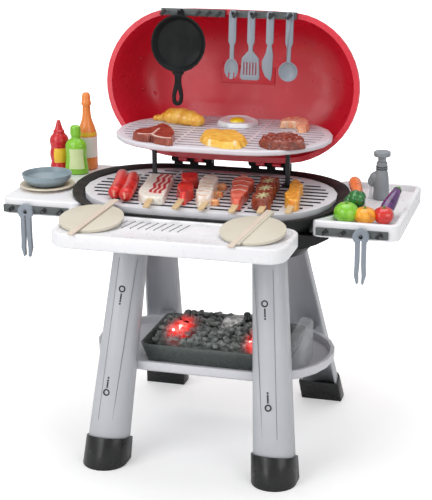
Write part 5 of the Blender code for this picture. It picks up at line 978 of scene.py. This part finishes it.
# Vegetables in the sink tray
lime_pvc = baked_pvc("lime_green_pvc", "96D63A", "84CA2C", "62AE1E", 0.24, 12, 2.0, 0.03, coat=0.5)
pumpkin_pvc = baked_pvc("pumpkin_orange_pvc", "FBB534", "F5A528", "DC8420", 0.28, 12, 2.0, 0.04, coat=0.4)
tomato_pvc = baked_pvc("tomato_red_pvc", "E2362C", "D42824", "AE1A1C", 0.2, 16, 2.5, 0.02, coat=0.6)
pepper_pvc = baked_pvc("dark_green_pepper_pvc", "2E8A3A", "1F7230", "124E20", 0.24, 12, 2.0, 0.03, coat=0.5)
carrot_pvc = baked_pvc("carrot_orange_pvc", "F48E50", "EC7A3E", "D25F2C", 0.3, 10, 2.0, 0.05, coat=0.3)
purple_pvc = baked_pvc("aubergine_purple_pvc", "6E3A7E", "5A2C6C", "3E1A50", 0.2, 14, 2.0, 0.02, coat=0.6)
stem_pvc = baked_pvc("stem_green_pvc", "5E9A3A", "4C8A30", "366A22", 0.35, 6, 1.5, 0.04)
SINK_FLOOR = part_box("vegetables")[0][2]
FOOT_CUT, STEM_SHADE, HOLLOW_DEEP, HOLLOW_WIDE = 0.6 * MM, 50, 3 * MM, 5 * MM


def ribbed(obj, centre, ribs, depth):
    """Presses grooves into a round form from its top to its foot, and a hollow at its top."""
    for vertex in obj.data.vertices:
        dx, dy = vertex.co.x - centre[0], vertex.co.y - centre[1]
        reach = math.hypot(dx, dy)
        if reach > 0.1 * MM:
            share = 1 - depth * abs(math.cos(math.atan2(dy, dx) * ribs / 2)) ** 0.5 + depth * 0.5
            vertex.co.x, vertex.co.y = centre[0] + dx * share, centre[1] + dy * share
        if vertex.co.z > centre[2]:
            vertex.co.z -= HOLLOW_DEEP * math.exp(-(reach / HOLLOW_WIDE) ** 2)
    return obj


def whole(name, x, y, radius, height, material, ribs, depth):
    """A round vegetable with its grooves and its stem, standing on the sink tray's floor."""
    centre = (x, y, SINK_FLOOR + height / 2)
    obj = ribbed(ball(name, centre, (radius, radius, height / 2), 40, 24), centre, ribs, depth)
    attach(smooth(cut_below(obj, SINK_FLOOR + FOOT_CUT), SOFT_SHADE), material, "vegetables")
    stalk = turned(name + "_stem", (x, y, SINK_FLOOR + height - 3.2 * MM),
                   [(3.6, 0), (2.0, 1.6), (1.4, 3.0), (1.6, 4.6), (1.0, 5.0)], 12)
    attach(smooth(stalk, STEM_SHADE), stem_pvc, "vegetables")
    return obj


lime = whole("lime", 0.2370, -0.0670, 0.0200, 0.0330, lime_pvc, 6, 0.05)
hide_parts("vegetables")
whole("pumpkin", 0.2660, -0.0665, 0.0190, 0.0270, pumpkin_pvc, 8, 0.20)
whole("tomato", 0.2945, -0.0610, 0.0165, 0.0280, tomato_pvc, 5, 0.10)
pepper = joined("pepper_lobes", [ball("pepper_lobe", (0.2450 + dx * MM, -0.0340 + dy * MM, SINK_FLOOR + dz * MM),
                                      (0.0085, 0.0085, 0.0105), 20, 12)
                                 for dx, dy, dz in ((-9, -3, 26), (8, -4, 27), (0, -7, 30), (-5, 6, 30), (7, 6, 31),
                                                    (0, 0, 34), (0, 0, 15), (-3, -1, 22), (4, -1, 22))])
attach(soft_skin(pepper, SINK_FLOOR + FOOT_CUT, 1.0, 3, 1.2, 7), pepper_pvc, "vegetables")


def along(name, foot, tip, rings, material, steps=24):
    """A root or fruit that lies at an angle: a turned form laid from its foot to its tip."""
    foot, tip = Vector(foot), Vector(tip)
    obj = turned(name, (0, 0, 0), [(radius, share * (tip - foot).length / MM) for radius, share in rings], steps)
    return attach(smooth(laid(obj, foot, tip - foot), STEM_SHADE), material, "vegetables")


carrot_top = (0.2265, 0.0540, SINK_FLOOR + 0.0365)
carrot_tip = (0.2570, -0.0400, SINK_FLOOR + 0.0170)
along("carrot", carrot_tip, carrot_top,
      [(1.5, 0), (4.0, 0.03), (6.2, 0.12), (6.6, 0.22), (6.3, 0.24), (7.6, 0.36), (7.2, 0.38), (8.8, 0.55),
       (8.4, 0.57), (10.0, 0.76), (9.7, 0.78), (10.3, 0.90), (8.6, 0.97), (4.0, 1.0)], carrot_pvc)
along("carrot_leaf", carrot_top, Vector(carrot_top) + Vector((-0.0018, 0.0055, 0.0012)),
      [(4.5, 0), (3.4, 0.5), (2.4, 1.0)], stem_pvc, 12)
aubergine_foot, aubergine_top = (0.2925, -0.0440, SINK_FLOOR + 0.0130), (0.3060, 0.0040, SINK_FLOOR + 0.0400)
along("aubergine", aubergine_foot, aubergine_top,
      [(2.0, -0.16), (7.0, -0.10), (10.0, 0.05), (11.2, 0.25), (10.4, 0.5), (8.4, 0.75), (6.6, 0.92), (4.0, 1.0)],
      purple_pvc)
along("aubergine_cap", Vector(aubergine_foot).lerp(Vector(aubergine_top), 0.93),
      (0.3074, 0.0082, SINK_FLOOR + 0.0418), [(7.2, 0), (6.0, 0.35), (2.6, 0.6), (1.8, 1.0)], stem_pvc, 16)

# Sauce bottles: blow-moulded polythene, soft gloss and no sharp edge
red_pe = moulded_plastic("red_bottle_pe", "D4222B", "C61B24", 0.26, 3.0, 0.004, coat=0.3)
green_pe = moulded_plastic("lime_bottle_pe", "8ED032", "7FC328", 0.26, 3.0, 0.004, coat=0.3)
orange_pe = moulded_plastic("orange_bottle_pe", "F4954C", "EF893C", 0.28, 3.0, 0.004, coat=0.2)
yellow_label = moulded_plastic("yellow_paper_label", "F2C93A", "EDBF2C", 0.4, 3.0, 0.003)
pale_label = moulded_plastic("pale_paper_label", "F4F2EA", "ECE9DF", 0.4, 3.0, 0.003)
green_label = moulded_plastic("pale_green_paper_label", "DDEDB4", "D2E5A2", 0.4, 3.0, 0.003)


def label(bottle, name, low, high, middle, spread, centre):
    """A printed label: the faces that it covers, copied off the bottle and given a paper's thickness."""
    select_only(bottle)
    edit_none()
    close_mesh()
    for polygon in bottle.data.polygons:
        angle = math.degrees(math.atan2(polygon.center.y - centre[1], polygon.center.x - centre[0]))
        off = abs((angle - middle + 180) % 360 - 180)
        polygon.select = low < polygon.center.z < high and off < spread and abs(polygon.normal.z) < LABEL_STEEP
    bpy.ops.object.mode_set(mode="EDIT")
    bpy.ops.mesh.duplicate()
    bpy.ops.mesh.separate(type="SELECTED")
    close_mesh()
    patch = next(obj for obj in bpy.context.selected_objects if obj != bottle)
    patch.name = name
    return smooth(modify(patch, "SOLIDIFY", thickness=LABEL_THICK, offset=1.0), CURVED_SHADE)


def bottle(node, material, labels, flat, profile):
    """A bottle at a node's place from (radius, height) in millimetres, with its labels: name, paper, the heights
    and the middle and half spread of the angle that it covers."""
    low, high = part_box(node)
    centre = ((low[0] + high[0]) / 2, (low[1] + high[1]) / 2)
    obj = turned(node + "_body", (*centre, low[2]), profile, 48)
    for vertex in obj.data.vertices:
        vertex.co.y = centre[1] + (vertex.co.y - centre[1]) * flat
    smooth(obj, CURVED_SHADE)
    for name, paper, bottom, top, middle, spread in labels:
        attach(label(obj, name, low[2] + bottom, low[2] + top, middle, spread, centre), paper, node)
    return dress(obj, material, node)


LABEL_STEEP, LABEL_THICK = 0.7, 0.35 * MM
bottle("red_sauce_bottle", red_pe, [("red_bottle_label", yellow_label, 0.016, 0.041, -62, 44)], 1.0, [
    (14.5, 0), (16.2, 1), (16.8, 3), (16.6, 8), (15.4, 12), (15.0, 15), (15.6, 19), (16.6, 23), (16.8, 28),
    (16.4, 33), (15.2, 37), (14.9, 40), (15.6, 44), (16.6, 49), (16.5, 54), (14.6, 59), (11.0, 63), (9.6, 65),
    (9.6, 69), (8.6, 70), (7.4, 71), (4.6, 80), (3.2, 86), (2.4, 87.4)])
bottle("green_sauce_bottle", green_pe, [("green_bottle_label", green_label, 0.010, 0.045, -72, 48)], 0.78, [
    (18.5, 0), (20.2, 1), (21.0, 4), (20.6, 10), (19.6, 17), (18.6, 24), (18.0, 31), (18.2, 38), (19.0, 45),
    (18.8, 50), (16.4, 55), (11.0, 60), (8.2, 62), (8.0, 66), (9.4, 67), (9.6, 70), (9.2, 79), (8.6, 82),
    (6.0, 83.8)])
bottle("orange_sauce_bottle", orange_pe, [("orange_bottle_label_1", pale_label, 0.0215, 0.059, -70, 180),
                                          ("orange_bottle_label_2", yellow_label, 0.0595, 0.0655, -70, 180)], 1.0, [
    (15.0, 0), (16.6, 1), (17.0, 3), (17.0, 14), (17.0, 20), (16.9, 22), (16.8, 50), (16.8, 58), (16.6, 60),
    (15.8, 66), (13.6, 74), (10.6, 82), (8.2, 90), (7.2, 98), (6.8, 108), (6.6, 112), (8.4, 113), (8.6, 116),
    (8.4, 118), (7.6, 119), (7.2, 128), (6.4, 132), (4.4, 134.3)])

# Tap: a stem with a hood and a nose, two dark rings, and clear cast water that widens as it falls
water_ps = clear_plastic("clear_cast_ps", "E4EEF4", 0.04, 0.42)
low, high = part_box("tap_body")
TAP = (0.2660, (low[1] + high[1]) / 2, low[2])
stem = turned("tap_stem", TAP, [(11.6, 0), (13.0, 1.5), (13.4, 6), (12.6, 20), (12.2, 30), (11.6, 38), (10.4, 44),
                                (9.3, 49), (9.0, 56), (9.2, 60), (8.6, 62.5)], 40)
hood = ball("tap_hood", (TAP[0] - 0.0085, TAP[1], TAP[2] + 0.0350), (0.0125, 0.0085, 0.0110), 24, 16, (0, -30, 0))
nose = ball("tap_nose", (TAP[0] - 0.0165, TAP[1], TAP[2] + 0.0280), (0.0062, 0.0066, 0.0085), 24, 16, (0, -12, 0))
tap = even_skin(joined("tap_moulding", [stem, hood, nose]), 0.9, 3)
dress(smooth(cut_below(tap, TAP[2]), SOFT_SHADE), tap_pp, "tap_body")
for number, height in enumerate((0.0508, 0.0543), 1):
    ring = hoop("tap_ring_%d" % number, (TAP[0], TAP[1], TAP[2] + height), 9.3 * MM, 0.8 * MM, (40, 10), 0, 1.1)
    attach(smooth(ring, SOFT_SHADE), slate_abs, "tap_body")
water = turned("tap_water", (TAP[0] - 0.0170, TAP[1], TAP[2] + 0.0004), [
    (6.0, 0), (4.4, 0.8), (3.2, 3), (2.6, 8), (2.3, 14), (2.1, 20)], 24)
attach(smooth(water, SOFT_SHADE), water_ps, "tap_body")


# Floor, light and camera
def studio_floor():
    """A white floor that keeps the object's soft shadow."""
    select_only()
    bpy.ops.mesh.primitive_plane_add(size=60, location=(0, 0, -0.0002))
    floor = bpy.context.object
    floor.name = "studio_floor"
    material, tree, place = new_material("white_floor")
    paper = add(tree, "BsdfPrincipled", {"Base Color": (0.90, 0.90, 0.90, 1), "Roughness": 0.9,
                                         "Specular IOR Level": 0.1})
    # For the camera the floor gets painted light: weak near the object, full white farther off
    path = add(tree, "LightPath")
    seen = add(tree, "Math", {0: path.outputs["Is Camera Ray"], 1: path.outputs["Is Transmission Ray"]},
               operation="MAXIMUM")
    far = add(tree, "VectorMath", {0: place}, operation="LENGTH")
    lift = add(tree, "MapRange", {"Value": far.outputs["Value"], "From Min": 0.35, "From Max": 1.6,
                                  "To Min": 0.28, "To Max": 1.0})
    level = add(tree, "Math", {0: seen.outputs[0], 1: lift.outputs["Result"]}, operation="MULTIPLY")
    glow_white = add(tree, "Emission", {"Color": (1, 1, 1, 1), "Strength": level.outputs[0]})
    both = add(tree, "AddShader", {0: paper.outputs[0], 1: glow_white.outputs[0]})
    add(tree, "OutputMaterial", {"Surface": both.outputs[0]})
    floor.data.materials.append(material)


def soft_light(name, place, target, width, height, power):
    lamp = bpy.data.lights.new(name, "AREA")
    lamp.shape = "RECTANGLE"
    lamp.size, lamp.size_y, lamp.energy = width, height, power
    obj = bpy.data.objects.new(name, lamp)
    bpy.context.scene.collection.objects.link(obj)
    obj.location = place
    obj.rotation_euler = (Vector(target) - Vector(place)).to_track_quat("-Z", "Y").to_euler()


def world_light(level):
    world = bpy.data.worlds.new("white_room")
    bpy.context.scene.world = world
    world.use_nodes = True
    tree = world.node_tree
    tree.nodes.clear()
    path = add(tree, "LightPath")
    strength = add(tree, "MapRange", {"Value": path.outputs["Is Camera Ray"], "To Min": level, "To Max": 1.0})
    back = add(tree, "Background", {"Color": (1, 1, 1, 1), "Strength": strength.outputs["Result"]})
    add(tree, "OutputWorld", {"Surface": back.outputs[0]})


def photo_camera():
    """The photograph's view."""
    camera = bpy.data.cameras.new("photo_view")
    camera.sensor_width = SENSOR
    camera.lens = FOCAL_PIXELS / TALL_PIXELS * SENSOR
    camera.shift_x, camera.shift_y = (off / TALL_PIXELS for off in OFF_CENTRE_PIXELS)
    camera.clip_end = 100
    obj = bpy.data.objects.new("photo_view", camera)
    bpy.context.scene.collection.objects.link(obj)
    obj.location = (0.60629, -2.06895, 1.00985)
    target = Vector((0.0516, 0.0104, 0.3388))
    obj.rotation_euler = (target - obj.location).to_track_quat("-Z", "Y").to_euler()
    bpy.context.scene.camera = obj


# The camera fitted to the photograph, in its pixels, and a sensor width in millimetres
FOCAL_PIXELS, TALL_PIXELS, OFF_CENTRE_PIXELS, SENSOR = 1365.7, 500, (-27.18, -1.67), 36.0
studio_floor()
world_light(0.52)
soft_light("key", (-1.6, -2.2, 2.2), (0, 0, 0.4), 1.8, 1.8, 30)
soft_light("left_wall", (-1.5, -3.6, 0.8), (0, 0.2, 0.5), 1.2, 1.8, 14)
soft_light("fill", (2.2, -1.8, 1.4), (0, 0, 0.4), 1.6, 1.6, 14)
soft_light("top", (0, 0.3, 2.8), (0, 0, 0.4), 2.2, 2.2, 32)
photo_camera()
bpy.context.scene.view_settings.view_transform = "Standard"
